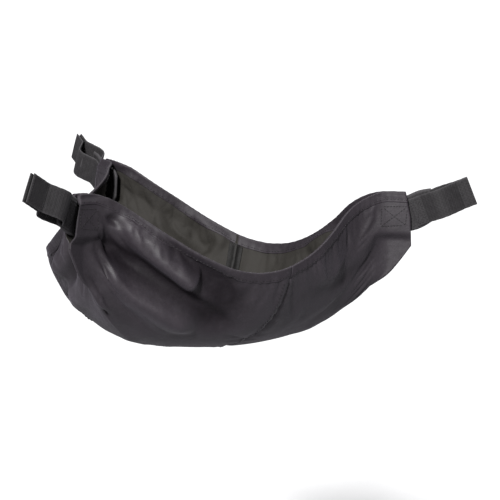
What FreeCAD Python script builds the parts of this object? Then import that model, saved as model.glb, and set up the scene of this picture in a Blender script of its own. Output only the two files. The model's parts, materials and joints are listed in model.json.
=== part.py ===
import FreeCAD, Part
import Sketcher
import math
import os

# Three-cornered sling sandbag for a tripod.  A fabric bowl made of three gores hangs from three
# corner tabs.  Each corner carries a pair of webbing straps that close round one leg tube of the
# tripod with hook and loop.  A sealed sand pouch lies in the bowl.
#
# Frame: +Z up, origin at the underside of the outer base patch, on the centre line.
# The right corner lies on +X, the rear corner at 120 degrees, the left corner at 240 degrees.

os.makedirs("parts", exist_ok=True)
V = FreeCAD.Vector
doc = FreeCAD.newDocument("sling_sandbag")

# ---------------------------------------------------------------- driving dimensions, mm and deg
DIMS = [
    ("strap_plane", 132.0, "height of the strap centres above the base"),
    ("tube_ring", 211.0, "leg tube centres to the centre line"),
    ("tube_rad", 10.5, "leg tube radius the straps close on"),
    ("leg_lean", 24.0, "leg tube lean from vertical"),
    ("web_wide", 25.0, "strap webbing width"),
    ("web_thick", 1.6, "strap webbing thickness"),
    ("hook_thick", 1.0, "hook or loop tape thickness"),
    ("reach_right", 28.0, "right strap end beyond its tube centre"),
    ("reach_rear", 31.0, "rear strap end beyond its tube centre"),
    ("reach_left", 41.0, "left strap end beyond its tube centre"),
    ("root_reach", 15.0, "strap hinge line inboard of the tube centre"),
    ("cloth", 2.0, "shell fabric with its folded layers"),
    ("tip_reach", 185.0, "gore tip to the centre line"),
    ("tip_half", 6.8, "half width of the folded gore tip"),
    ("tip_high", 6.0, "gore tip top above the strap plane"),
    ("tip_low", 39.0, "gore tip fold below the strap plane"),
    ("side_reach", 125.0, "rim to centre line at mid side"),
    ("side_sag", 57.0, "rim sag at mid side"),
    ("bowl_deep", 130.0, "bowl bottom below the strap plane"),
    ("seam_gap", 0.25, "gore edge to seam plane"),
    ("seam_turn", 14.0, "seam planes turned from the mid sides"),
    ("bind_wide", 3.4, "rim binding width"),
    ("bind_high", 6.0, "rim binding height"),
    ("tape_wide", 14.0, "seam tape width"),
    ("tape_thick", 1.0, "seam tape thickness"),
    ("patch_rad", 24.0, "base patch radius"),
    ("patch_thick", 1.7, "base patch thickness"),
    ("tab_thick", 3.0, "corner tab thickness"),
    ("tab_bolt_x", 168.0, "tab swivel line to the centre line"),
    ("tab_bolt_z", 14.0, "tab swivel line below the strap plane"),
    ("anchor_len", 11.0, "sewn strap root length"),
    ("tack_rad", 1.2, "bar tack radius, the thread bundle the tab turns on"),
    ("thread", 0.5, "sewing thread thickness"),
    ("pouch_rad", 80.0, "sand pouch radius"),
    ("pouch_high", 34.0, "sand pouch height"),
    ("pouch_skin", 1.5, "sand pouch canvas thickness"),
    ("grab_wide", 20.0, "pouch grab strap width"),
]
sheet = doc.addObject("Spreadsheet::Sheet", "dims")
for row_number, (alias, value, words) in enumerate(DIMS, start=1):
    sheet.set(f"A{row_number}", alias)
    sheet.set(f"B{row_number}", str(value))
    sheet.setAlias(f"B{row_number}", alias)
    sheet.set(f"C{row_number}", words)
doc.recompute()
dim = {alias: float(sheet.get(alias)) for alias, _, _ in DIMS}

CORNERS = (("right", 0.0), ("rear", 120.0), ("left", 240.0))
# Each side runs from the corner at its angle to the next corner, 120 degrees on.
SIDES = (("rear_right", 0.0), ("rear_left", 120.0), ("front", 240.0))

STRAP_Z = dim["strap_plane"]
HALF_WEB = dim["web_wide"] / 2
HINGE_X = -dim["root_reach"]  # strap hinge line in the strap frame
CLEARANCE = 0.15  # gap between sewn layers
ROOT_GAP = 0.6  # sewn strap root inboard of the hinge line
ANCHOR_Y = dim["tab_thick"] / 2 + CLEARANCE  # inner face of the strap webbing at the tab
THREAD_DEPTH = 0.4  # how far stitching stands proud
THREAD_LIFT = 0.05  # gap between stitching and webbing

kept = []  # (object, file name)


def keep(obj, name):
    obj.Label = name
    kept.append((obj, name))


def feature(shape, name, placement=None):
    obj = doc.addObject("Part::Feature", name)
    obj.Shape = shape
    if placement is not None:
        obj.Placement = placement
    keep(obj, name)


# ---------------------------------------------------------------- frames and sketches
def at_angle(degrees):
    return FreeCAD.Placement(V(0, 0, 0), FreeCAD.Rotation(V(0, 0, 1), degrees))


def strap_frame(degrees):
    """Origin on the tube centre, local X outboard across the tube, local Z up along the tube."""
    tilt = FreeCAD.Placement(
        V(dim["tube_ring"], 0, STRAP_Z),
        FreeCAD.Rotation(V(0, 1, 0), -dim["leg_lean"]),
    )
    return at_angle(degrees).multiply(tilt)


def low_y(inner_y, thickness, side):
    """Lower y of a layer that starts inner_y from the middle, on the +y or -y side."""
    return inner_y if side > 0 else -inner_y - thickness


def new_body(name):
    return doc.addObject("PartDesign::Body", name + "_body")


def origin_item(body, role):
    return [item for item in body.Origin.OriginFeatures if item.Role == role][0]


def sketch_on(body, name, role="XY_Plane"):
    sketch = body.newObject("Sketcher::SketchObject", name)
    sketch.AttachmentSupport = [(origin_item(body, role), "")]
    sketch.MapMode = "FlatFace"
    return sketch


def add_circle(sketch, centre, radius, radius_name, expression):
    """A circle whose named radius follows the spreadsheet."""
    sketch.addGeometry(Part.Circle(centre, V(0, 0, 1), radius), False)
    index = sketch.addConstraint(Sketcher.Constraint("Radius", 0, radius))
    sketch.renameConstraint(index, radius_name)
    sketch.setExpression("Constraints." + radius_name, expression)


def add_pad(body, sketch, name, expression, symmetric=True):
    doc.recompute()
    pad = body.newObject("PartDesign::Pad", name)
    pad.Profile = sketch
    if symmetric:
        pad.SideType = "Symmetric"
    pad.setExpression("Length", expression)
    doc.recompute()


# ---------------------------------------------------------------- curves, surfaces and solids
SEW_TOLERANCE = 1e-3
NA, NB = 14, 9  # grid steps from tip to seam, and from rim to fold


def unit(vector):
    return vector * (1.0 / (vector.Length or 1.0))


def spline(points):
    curve = Part.BSplineCurve()
    curve.interpolate(points)
    return curve


def even_points(curve, low, high, count, skip=0.0):
    """count + 1 points evenly along a curve between two parameters, the first skip mm past low."""
    run = curve.length(low, high) - skip
    points = []
    for i in range(count):
        distance = skip + run * i / count
        parameter = curve.parameterAtDistance(distance, low) if distance else low
        points.append(curve.value(parameter))
    return points + [curve.value(high)]


def resample(points, count):
    curve = spline(points)
    return even_points(curve, curve.FirstParameter, curve.LastParameter, count)


def solid_of(faces):
    shell = Part.makeShell(faces)
    shell.sewShape(SEW_TOLERANCE)
    if shell.ShapeType != "Shell":
        shell = shell.Shells[0]
    solid = Part.makeSolid(shell)
    if solid.Volume < 0:
        solid = Part.makeSolid(shell.reversed())
    if not solid.isValid():
        solid.fix(SEW_TOLERANCE, SEW_TOLERANCE, SEW_TOLERANCE * 10)
    return solid


def even_knots(n):
    """Even parameters and clamped cubic knots for n + 1 points."""
    params = [k / n for k in range(n + 1)]
    inner = [sum(params[j:j + 3]) / 3 for j in range(1, n - 2)]
    return params, [0.0] * 4 + inner + [1.0] * 4


def basis_row(knots, n, x):
    """Values of the n + 1 cubic basis functions at x."""
    if x >= 1.0:
        return [0.0] * n + [1.0]

    def share(top, span):
        return top / span if span > 0 else 0.0

    row = [1.0 if low <= x < high else 0.0 for low, high in zip(knots, knots[1:])]
    for degree in range(1, 4):
        row = [
            share(x - knots[i], knots[i + degree] - knots[i]) * row[i]
            + share(knots[i + degree + 1] - x, knots[i + degree + 1] - knots[i + 1]) * row[i + 1]
            for i in range(len(row) - 1)
        ]
    return row


def inverse(matrix):
    """Gauss-Jordan inverse with row pivoting."""
    n = len(matrix)
    rows = [
        list(row) + [1.0 if i == j else 0.0 for j in range(n)] for i, row in enumerate(matrix)
    ]
    for c in range(n):
        best = max(range(c, n), key=lambda r: abs(rows[r][c]))
        rows[c], rows[best] = rows[best], rows[c]
        pivot = rows[c][c]
        rows[c] = [value / pivot for value in rows[c]]
        for r in range(n):
            if r != c and rows[r][c]:
                factor = rows[r][c]
                rows[r] = [x - factor * y for x, y in zip(rows[r], rows[c])]
    return [row[n:] for row in rows]


def fit_matrix(n):
    """Matrix that turns n + 1 points at even parameters into cubic poles."""
    params, knots = even_knots(n)
    return inverse([basis_row(knots, n, x) for x in params])


FIT_MATRICES = {n: fit_matrix(n) for n in (NA, NB)}


def fitted(points):
    """Poles of the cubic through the points at even parameters."""
    return [
        V(*(sum(w * p[axis] for w, p in zip(row, points)) for axis in range(3)))
        for row in FIT_MATRICES[len(points) - 1]
    ]


def grid_surface(grid):
    """Cubic surface through a grid; an edge depends only on the points along it."""
    rows = [fitted(row) for row in grid]
    columns = [fitted(column) for column in zip(*rows)]
    poles = [list(row) for row in zip(*columns)]

    def knots_and_mults(n):
        inner = even_knots(n)[1][4:-4]
        return [0.0] + inner + [1.0], [4] + [1] * len(inner) + [4]

    u_knots, u_mults = knots_and_mults(len(poles) - 1)
    v_knots, v_mults = knots_and_mults(len(poles[0]) - 1)
    surface = Part.BSplineSurface()
    surface.buildFromPolesMultsKnots(
        poles, u_mults, v_mults, u_knots, v_knots, False, False, 3, 3
    )
    return surface


def ruled(curve_a, curve_b):
    return Part.makeRuledSurface(curve_a.toShape(), curve_b.toShape())


def bar(sections):
    """A closed bar with flat ends through four-cornered sections."""
    n = len(sections) - 1
    rails = []
    for corner in range(4):
        rail = Part.BSplineCurve()
        rail.interpolate(
            Points=[section[corner] for section in sections],
            Parameters=[i / n for i in range(n + 1)],
        )
        rails.append(rail)
    faces = [ruled(rails[k], rails[(k + 1) % 4]) for k in range(4)]
    for section in (sections[0], sections[-1]):
        wire = Part.makePolygon(list(section) + [section[0]])
        faces.append(Part.makeFilledFace(wire.Edges))
    return solid_of(faces)


# ---------------------------------------------------------------- outline curves of half a gore
# The stations were set out for these sizes and are scaled from them.
STATION_REACH, STATION_SAG, STATION_DEEP = 125.0, 57.0, 130.0
REACH_SCALE = dim["side_reach"] / STATION_REACH
SAG_SCALE = dim["side_sag"] / STATION_SAG
DEEP_SCALE = dim["bowl_deep"] / STATION_DEEP
COS60, SIN60 = math.cos(math.radians(60)), math.sin(math.radians(60))

# Rim: out along the mid-side direction, across towards the corner, height from the strap plane.
RIM_STATIONS = [
    (88.0, 103.0, -9.0), (101.0, 83.0, -23.0), (112.5, 62.0, -37.0),
    (119.5, 41.5, -47.5), (123.6, 20.5, -54.6), (125.0, 0.0, -57.0),
]
# Mid-side line below the rim: out along the mid-side direction, height from the strap plane.
MID_SIDE_STATIONS = [
    (122.0, -72.0), (112.0, -91.0), (92.0, -109.5), (62.0, -123.0), (28.0, -129.4), (0.0, -130.0),
]
# Keel: distance from the centre line, height from the strap plane.
KEEL_TIP_STATIONS = [(172.0, -56.0), (152.0, -77.0)]
KEEL_BOWL_STATIONS = [
    (131.0, -94.0), (95.0, -115.0), (60.0, -125.6), (28.0, -129.5), (0.0, -130.0),
]


def side_point(out, across, height):
    """A point given along the mid-side direction (60 degrees) and towards the corner."""
    return V(out * COS60 + across * SIN60, out * SIN60 - across * COS60, height + STRAP_Z)


def rim_points():
    half, top = dim["tip_half"], STRAP_Z + dim["tip_high"]
    points = [
        V(dim["tip_reach"], half, top),
        V(168.0, half + 0.6, top - 0.4),
        V(151.0, half + 4.0, top - 3.5),
    ]
    for out, across, z in RIM_STATIONS:
        points.append(side_point(out * REACH_SCALE, across, z * SAG_SCALE))
    return points


def mid_side_points():
    """The mid-side line where the bowl is mirrored; the sewn seam lies to one side of it."""
    points = [side_point(dim["side_reach"], 0.0, -dim["side_sag"])]
    for out, z in MID_SIDE_STATIONS:
        points.append(side_point(out * REACH_SCALE, 0.0, z * DEEP_SCALE))
    return points


def keel_points():
    points = [V(dim["tip_reach"], 0, STRAP_Z - dim["tip_low"])]
    points += [V(x, 0, z + STRAP_Z) for x, z in KEEL_TIP_STATIONS]
    points += [V(x, 0, z * DEEP_SCALE + STRAP_Z) for x, z in KEEL_BOWL_STATIONS]
    return points


def tip_points():
    x, half = dim["tip_reach"], dim["tip_half"]
    top, low = STRAP_Z + dim["tip_high"], STRAP_Z - dim["tip_low"]
    return [
        V(x, half, top),
        V(x, half + 0.25, top - 12),
        V(x, half + 0.25, top - 24),
        V(x, half, low + 12),
        V(x, half * 0.8, low + 3.6),
        V(x, 0.0, low),
    ]


# ---------------------------------------------------------------- point grids of the gore
def lowered(grid, drop):
    """The grid with each row starting drop below the rim, along the sheet."""
    rows = []
    for i, row in enumerate(grid):
        line = spline(row)
        along_rim = unit(grid[min(i + 1, NA)][0] - grid[max(i - 1, 0)][0])
        below = line.value(line.parameterAtDistance(drop, line.FirstParameter))
        # a row that leans along the rim needs a longer start to clear the same drop
        slant = unit(below - row[0]).dot(along_rim) if 0 < i < NA else 0.0
        start = drop / max(0.35, math.sqrt(1 - slant * slant))
        rows.append(even_points(line, line.FirstParameter, line.LastParameter, NB, start))
    return rows


def half_grid():
    """Coons patch over half a gore: a runs tip to mid side, b runs rim to fold."""
    rim = resample(rim_points(), NA)
    keel = resample(keel_points(), NA)
    tip = resample(tip_points(), NB)
    side = resample(mid_side_points(), NB)
    grid = []
    for i in range(NA + 1):
        a = i / NA
        row = []
        for j in range(NB + 1):
            b = j / NB
            edges = rim[i] * (1 - b) + keel[i] * b + (tip[j] * (1 - a) + side[j] * a)
            corners = rim[0] * ((1 - a) * (1 - b)) + rim[-1] * (a * (1 - b))
            corners = corners + (keel[0] * ((1 - a) * b) + keel[-1] * (a * b))
            row.append(edges - corners)
        grid.append(row)
    return grid


def grid_normals(grid):
    last_i, last_j = len(grid) - 1, len(grid[0]) - 1
    rows = []
    for i in range(last_i + 1):
        row = []
        for j in range(last_j + 1):
            along = grid[min(i + 1, last_i)][j] - grid[max(i - 1, 0)][j]
            down = grid[i][min(j + 1, last_j)] - grid[i][max(j - 1, 0)]
            row.append(unit(along.cross(down)))
        rows.append(row)
    return rows


def mirror_grid(grid):
    return [[V(p.x, -p.y, p.z) for p in row] for row in grid]


def flip_side(point):
    """Mirror across the vertical plane at 60 degrees."""
    out = point.x * COS60 + point.y * SIN60
    across = point.x * SIN60 - point.y * COS60
    return V(out * COS60 - across * SIN60, out * SIN60 + across * COS60, point.z)


def seam_parameter(curve, target):
    """Where a curve that runs round the centre line reaches the target angle, in radians."""
    low, high = curve.FirstParameter, curve.LastParameter
    steps = 400
    before = low
    for k in range(1, steps + 1):
        after = low + (high - low) * k / steps
        point = curve.value(after)
        off_axis = math.hypot(point.x, point.y) > 1e-6
        past_tip = after > low + 0.3 * (high - low)
        if math.atan2(point.y, point.x) >= target and off_axis and past_tip:
            for _ in range(50):
                middle = (before + after) / 2
                point = curve.value(middle)
                if math.atan2(point.y, point.x) >= target:
                    after = middle
                else:
                    before = middle
            return after
        before = after
    return high


def sector_grid(base, turn):
    """Half a gore from the tip to a seam plane at 60 + turn degrees.

    Past 60 degrees it runs onto the mirrored sheet."""
    target = math.radians(60.0 + turn)
    lines = []
    for j in range(NB + 1):
        line = [row[j] for row in base]
        if j < NB:
            line += [flip_side(p) for p in reversed(line[:-1])]
            curve = spline(line)
            end = seam_parameter(curve, target)
        else:
            curve = spline(line)
            end = curve.LastParameter
        lines.append(even_points(curve, curve.FirstParameter, end, NA))
    return [list(row) for row in zip(*lines)]


# ---------------------------------------------------------------- gore panels
def inward_normal(outer, normal, i, j, seam_normal):
    """Direction from the outer sheet to the inner one at a grid point."""
    if j == NB:
        if i == NA:
            return V(0, 0, 1)
        # the fold stays in the gore's middle plane
        along = unit(outer[i + 1][NB] - outer[max(i - 1, 0)][NB])
        normal = V(-along.z, 0, along.x)
        return normal * -1 if normal.z < 0 else normal
    point = outer[i][j]
    inward = V(-point.x * 0.02, -point.y - 0.001, 0.35 * (STRAP_Z + 40 - point.z))
    if normal.dot(inward) < 0:
        normal = normal * -1
    if i == NA:
        normal = unit(normal - seam_normal * normal.dot(seam_normal))
    if i == 0:
        normal = unit(V(0, normal.y, normal.z))
    return normal


def sheet_pair(base, turn):
    """Outer and inner point grids of half a gore."""
    outer = sector_grid(base, turn)
    angle = math.radians(60.0 + turn)
    seam_normal = V(math.sin(angle), -math.cos(angle), 0)  # points back into the gore
    normals = grid_normals(outer)
    inner = [
        [
            outer[i][j] + inward_normal(outer, normals[i][j], i, j, seam_normal) * dim["cloth"]
            for j in range(NB + 1)
        ]
        for i in range(NA + 1)
    ]
    # draw the seam edge back from its plane
    for grid in (outer, inner):
        for i in range(NA + 1):
            gap = (i / NA) ** 6 * dim["seam_gap"]
            fold = grid[i][NB]
            grid[i] = [point + seam_normal * gap for point in grid[i]]
            grid[i][NB] = V(max(fold.x, 0.0) + 1.2 * gap, 0, fold.z)
    return outer, inner


def tip_seam_rim(surface):
    """Edge curves of a sheet; its fourth edge is the fold, shared by both halves."""
    u_low, u_high, v_low, _ = surface.bounds()
    return surface.uIso(u_low), surface.uIso(u_high), surface.vIso(v_low)


def gore_solid():
    base = lowered(half_grid(), dim["bind_high"] + 0.8)
    faces = []
    for side in (1, -1):
        grids = sheet_pair(base, dim["seam_turn"] * side)
        if side == -1:
            grids = [mirror_grid(grid) for grid in grids]
        outer, inner = [grid_surface(grid) for grid in grids]
        faces += [outer.toShape(), inner.toShape()]
        for outer_edge, inner_edge in zip(tip_seam_rim(outer), tip_seam_rim(inner)):
            faces.append(ruled(outer_edge, inner_edge))
    return solid_of(faces)


# ---------------------------------------------------------------- rim binding, one per side
def rim_binding():
    """Binding from one corner tip to the next, across the mid side at 60 degrees."""
    grid = half_grid()
    half_wide, high = dim["bind_wide"] / 2, dim["bind_high"]
    sections = []
    for i, row in enumerate(grid):
        along = unit(grid[min(i + 1, NA)][0] - grid[max(i - 1, 0)][0])
        if i == NA:
            along = V(-SIN60, COS60, 0)
        # near the tip the binding stands upright
        if i <= 2:
            down = V(0, 0, -1)
        else:
            line = spline(row)
            down = line.value(line.parameterAtDistance(high, line.FirstParameter)) - row[0]
            down = unit(down - along * down.dot(along))
        if i <= 1:
            out = V(0, 1, 0)
        else:
            out = unit(down.cross(along))
            if out.dot(V(row[0].x * 0.3, row[0].y, 0)) < 0:
                out = out * -1
        top = row[0] + out * (-dim["cloth"] / 2)
        low = top + down * high
        sections.append((
            low - out * half_wide,
            low + out * half_wide,
            top + out * half_wide,
            top - out * half_wide,
        ))
    mirrored = [tuple(flip_side(p) for p in section) for section in reversed(sections[:-1])]
    return bar(sections + mirrored)


# ---------------------------------------------------------------- seam tape inside each seam
def seam_tape():
    grid = sector_grid(lowered(half_grid(), dim["bind_high"] + 2.0), dim["seam_turn"])
    seam, normals = grid[NA], grid_normals(grid)[NA]
    half_wide = dim["tape_wide"] / 2
    lift = dim["cloth"] + 0.9
    sections = []
    for j, point in enumerate(seam):
        # stop short of the base patch
        if math.hypot(point.x, point.y) < dim["patch_rad"] + 8:
            break
        normal = normals[j]
        if normal.dot(V(point.x, point.y, 0)) > 0:
            normal = normal * -1
        along = unit(seam[j + 1] - seam[max(j - 1, 0)])
        normal = unit(normal - along * normal.dot(along))
        across = normal.cross(along)
        low = point + normal * lift
        high = low + normal * dim["tape_thick"]
        sections.append((
            low - across * half_wide,
            low + across * half_wide,
            high + across * half_wide,
            high - across * half_wide,
        ))
    return bar(sections)


# ---------------------------------------------------------------- base patches
INNER_PATCH_Z = STRAP_Z - dim["bowl_deep"] + dim["cloth"] + 1.1


def base_patch(name, low_z):
    body = new_body(name)
    sketch = sketch_on(body, f"{name}_outline")
    add_circle(sketch, V(0, 0, 0), dim["patch_rad"], "disc_radius", "dims.patch_rad")
    sketch.addConstraint(Sketcher.Constraint("Coincident", 0, 3, -1, 1))
    add_pad(body, sketch, f"{name}_pad", "dims.patch_thick", symmetric=False)
    body.Placement = FreeCAD.Placement(V(0, 0, low_z), FreeCAD.Rotation())
    keep(body, name)


# ---------------------------------------------------------------- corner tabs and bar tacks
def strap_to_corner(out, along_tube):
    """Strap frame coordinates to x and z in the corner's middle plane."""
    lean = math.radians(dim["leg_lean"])
    return (
        dim["tube_ring"] + out * math.cos(lean) - along_tube * math.sin(lean),
        STRAP_Z + out * math.sin(lean) + along_tube * math.cos(lean),
    )


# x and z of the tab corners, from the upper strap end round the inboard end to the lower one
TAB_OUTLINE = [
    strap_to_corner(HINGE_X - ROOT_GAP, HALF_WEB + 0.6),
    (178.0, STRAP_Z + 3.0),
    (158.0, STRAP_Z + 0.5),
    (151.5, STRAP_Z - 8.0),
    (151.5, STRAP_Z - 22.0),
    (158.0, STRAP_Z - 31.0),
    (180.0, STRAP_Z - 28.0),
    strap_to_corner(HINGE_X - ROOT_GAP, -HALF_WEB - 0.6),
]
TACK_Z = STRAP_Z - dim["tab_bolt_z"]


def corner_tab(corner, angle):
    name = f"corner_tab_{corner}"
    body = new_body(name)
    sketch = sketch_on(body, f"{name}_outline", "XZ_Plane")
    count = len(TAB_OUTLINE)
    points = [V(x, z, 0) for x, z in TAB_OUTLINE]
    for i in range(count):
        sketch.addGeometry(Part.LineSegment(points[i], points[(i + 1) % count]), False)
    for i in range(count):
        sketch.addConstraint(Sketcher.Constraint("Coincident", i, 2, (i + 1) % count, 1))
    add_pad(body, sketch, f"{name}_pad", "dims.tab_thick")
    uncut_volume = body.Shape.Volume

    hole = sketch_on(body, f"{name}_hole", "XZ_Plane")
    add_circle(
        hole,
        V(dim["tab_bolt_x"], TACK_Z, 0),
        dim["tack_rad"] + CLEARANCE,
        "eye_radius",
        f"dims.tack_rad + {CLEARANCE}",
    )
    doc.recompute()
    pocket = body.newObject("PartDesign::Pocket", f"{name}_pocket")
    pocket.Profile = hole
    pocket.SideType = "Symmetric"
    pocket.setExpression("Length", "dims.tab_thick + 2")
    doc.recompute()
    if uncut_volume - body.Shape.Volume < 10:
        raise RuntimeError("the tack hole did not cut the tab")
    body.Placement = at_angle(angle)
    keep(body, name)


def corner_tack(corner, angle):
    """Bar tack across the folded tip, through the tab."""
    name = f"corner_tack_{corner}"
    rod = doc.addObject("Part::Cylinder", name)
    rod.setExpression("Radius", "dims.tack_rad")
    rod.setExpression("Height", f"2 * (dims.tip_half - dims.cloth - {CLEARANCE})")
    doc.recompute()
    half_length = dim["tip_half"] - dim["cloth"] - CLEARANCE
    across = FreeCAD.Placement(
        V(dim["tab_bolt_x"], -half_length, TACK_Z), FreeCAD.Rotation(V(1, 0, 0), -90)
    )
    rod.Placement = at_angle(angle).multiply(across)
    keep(rod, name)


# ---------------------------------------------------------------- sewn strap roots and stitching
def strap_anchor(corner, angle):
    """Sewn strap roots on both faces of a tab."""
    name = f"strap_anchor_{corner}"
    group = doc.addObject("Part::Compound", name)
    roots = []
    for side, letter in ((1, "a"), (-1, "b")):
        box = doc.addObject("Part::Box", f"anchor_{corner}_{letter}")
        box.setExpression("Length", "dims.anchor_len")
        box.setExpression("Width", "dims.web_thick")
        box.setExpression("Height", "dims.web_wide")
        x = HINGE_X - ROOT_GAP - dim["anchor_len"]
        y = low_y(ANCHOR_Y, dim["web_thick"], side)
        box.Placement = FreeCAD.Placement(V(x, y, -HALF_WEB), FreeCAD.Rotation())
        roots.append(box)
    group.Links = roots
    doc.recompute()
    group.Placement = strap_frame(angle)
    keep(group, name)


def stitch_frame(x_low, x_high, y, z_low, z_high):
    """Four thread bars round a rectangle."""
    thread = dim["thread"]
    wide, high = x_high - x_low, z_high - z_low
    return [
        Part.makeBox(wide, THREAD_DEPTH, thread, V(x_low, y, z_low)),
        Part.makeBox(wide, THREAD_DEPTH, thread, V(x_low, y, z_high - thread)),
        Part.makeBox(thread, THREAD_DEPTH, high, V(x_low, y, z_low)),
        Part.makeBox(thread, THREAD_DEPTH, high, V(x_high - thread, y, z_low)),
    ]


def fused(bars):
    whole = bars[0]
    for piece in bars[1:]:
        whole = whole.fuse(piece)
    return whole.removeSplitter().Solids


def box_stitch(corner, angle):
    """Box stitching with crossed diagonals on each strap root."""
    thread = dim["thread"]
    x_inset, z_inset = 1.4, 2.0
    x_high = HINGE_X - ROOT_GAP - x_inset
    x_low = HINGE_X - ROOT_GAP - dim["anchor_len"] + x_inset
    z_high = HALF_WEB - z_inset
    z_low = -z_high
    length = math.hypot(x_high - x_low, z_high - z_low)
    slope = math.degrees(math.atan2(z_high - z_low, x_high - x_low))
    pieces = []
    for side in (1, -1):
        y = low_y(ANCHOR_Y + dim["web_thick"] + THREAD_LIFT, THREAD_DEPTH, side)
        bars = stitch_frame(x_low, x_high, y, z_low, z_high)
        for turn in (1, -1):
            diagonal = Part.makeBox(
                length - 0.6, THREAD_DEPTH, thread, V(-length / 2 + 0.3, 0, -thread / 2)
            )
            diagonal.rotate(V(0, 0, 0), V(0, 1, 0), -slope * turn)
            diagonal.translate(V((x_low + x_high) / 2, y, (z_low + z_high) / 2))
            bars.append(diagonal)
        pieces += fused(bars)
    feature(Part.makeCompound(pieces), f"box_stitch_{corner}", strap_frame(angle))


# ---------------------------------------------------------------- strap halves and their tapes
def touch_angle(point, radius):
    """Angle where the tangent from a point meets a circle at the origin, on the +y side."""
    spread = math.acos(radius / math.hypot(point.x, point.y))
    heading = math.atan2(point.y, point.x)
    return heading - spread if point.x < 0 else heading + spread


def strap_web(corner, kind, side, angle):
    """Webbing from the hinge line round half the tube to the flat end.

    Returns x of the bend where the outer face of the flat end starts."""
    name = f"strap_web_{corner}_{kind}"
    radius, thick = dim["tube_rad"], dim["web_thick"]
    end_x = dim[f"reach_{corner}"]
    flat_y = dim["hook_thick"] + CLEARANCE

    def on_tube(turn):
        return V(radius * math.cos(turn), radius * math.sin(turn), 0)

    def offset(start, end):
        """Step of one webbing thickness to the upper side of a line."""
        run = end - start
        length = math.hypot(run.x, run.y)
        return V(-run.y / length * thick, run.x / length * thick, 0)

    # inner face, from the hinge line to the flat end
    hinge = V(HINGE_X, ANCHOR_Y, 0)
    flat_start = V(radius + 6.0, flat_y, 0)
    flat_end = V(end_x, flat_y, 0)
    turn_on, turn_off = touch_angle(hinge, radius), touch_angle(flat_start, radius)
    touch_on, touch_off = on_tube(turn_on), on_tube(turn_off)

    # outer face, mitred at the bend and cut square at the hinge line
    outer_end = V(end_x, flat_y + thick, 0)
    outer_on = touch_on + offset(hinge, touch_on)
    outer_off = touch_off + offset(touch_off, flat_start)
    slant = flat_start - touch_off
    reach = (outer_end.y - outer_off.y) / slant.y
    mitre = V(outer_off.x + slant.x * reach, outer_end.y, 0)
    slope = (touch_on.y - hinge.y) / (touch_on.x - hinge.x)
    heel = V(HINGE_X, outer_on.y + (HINGE_X - outer_on.x) * slope, 0)

    body = new_body(name)
    sketch = sketch_on(body, f"{name}_profile")

    def lines(*points):
        flipped = [V(p.x, side * p.y, 0) for p in points]
        for start, end in zip(flipped, flipped[1:]):
            sketch.addGeometry(Part.LineSegment(start, end), False)

    def arc(arc_radius):
        circle = Part.Circle(V(0, 0, 0), V(0, 0, 1), arc_radius)
        low, high = sorted((turn_on * side, turn_off * side))
        sketch.addGeometry(Part.ArcOfCircle(circle, low, high), False)

    lines(hinge, touch_on)
    arc(radius)
    lines(touch_off, flat_start, flat_end, outer_end, mitre, outer_off)
    arc(radius + thick)
    lines(outer_on, heel, hinge)
    add_pad(body, sketch, f"{name}_pad", "dims.web_wide")
    body.Placement = strap_frame(angle)
    keep(body, name)
    return mitre.x


def closure_tape(corner, kind, side, angle):
    """Hook or loop tape on the inner face of the flat end."""
    start_gap, end_gap = 7.0, 0.8  # beyond the tube radius, and short of the strap end
    box = doc.addObject("Part::Box", f"tape_{corner}_{kind}")
    box.setExpression("Length", f"dims.reach_{corner} - dims.tube_rad - {start_gap + end_gap}")
    box.setExpression("Width", "dims.hook_thick")
    box.setExpression("Height", "dims.web_wide - 2")
    start = V(dim["tube_rad"] + start_gap, low_y(0.08, dim["hook_thick"], side), -HALF_WEB + 1)
    local = FreeCAD.Placement(start, FreeCAD.Rotation())
    box.Placement = strap_frame(angle).multiply(local)
    keep(box, f"{kind}_tape_{corner}")


def closure_stitch(corner, kind, side, angle, bend_x):
    """Thread that sews the tape on, proud of the strap's outer face."""
    outer_y = dim["hook_thick"] + CLEARANCE + dim["web_thick"]
    y = low_y(outer_y + THREAD_LIFT, THREAD_DEPTH, side)
    z = HALF_WEB - 2.2
    bars = stitch_frame(bend_x + 1.0, dim[f"reach_{corner}"] - 2.0, y, -z, z)
    feature(Part.makeCompound(fused(bars)), f"{kind}_stitch_{corner}", strap_frame(angle))


# ---------------------------------------------------------------- sand pouch
POUCH_FLOOR = INNER_PATCH_Z + dim["patch_thick"] + 0.6


def pouch_profile(skin):
    """Half section of the pouch as (radius, z), bottom to top, shrunk by skin all round."""
    floor, radius, top = POUCH_FLOOR, dim["pouch_rad"], POUCH_FLOOR + dim["pouch_high"]
    return [
        (0.0, floor + skin),
        (30.0, floor + 0.4 + skin),
        (54.0 - skin * 0.5, floor + 3.9 + skin),
        (radius - 8.0 - skin, floor + 10.6 + skin),
        (radius - skin * 1.1, floor + 17.5),
        (radius - 5.0 - skin, floor + 23.0 - skin * 0.6),
        (58.0 - skin * 0.3, top - 2.6 - skin),
        (30.0, top - 0.5 - skin),
        (0.0, top - skin),
    ]


def pouch_form(body_name, stem, skin):
    """Solid of revolution of the pouch profile about Z."""
    body = new_body(body_name)
    sketch = sketch_on(body, f"{stem}_profile", "XZ_Plane")
    points = [V(x, z, 0) for x, z in pouch_profile(skin)]
    sketch.addGeometry(spline(points), False)
    sketch.addGeometry(Part.LineSegment(points[-1], points[0]), False)
    doc.recompute()
    turned = body.newObject("PartDesign::Revolution", f"{stem}_turn")
    turned.Profile = sketch
    turned.ReferenceAxis = (origin_item(body, "Z_Axis"), "")
    turned.Angle = 360
    doc.recompute()
    return body


def sand_fill():
    keep(pouch_form("sand_fill", "sand_fill", dim["pouch_skin"] + CLEARANCE), "sand_fill")


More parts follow.
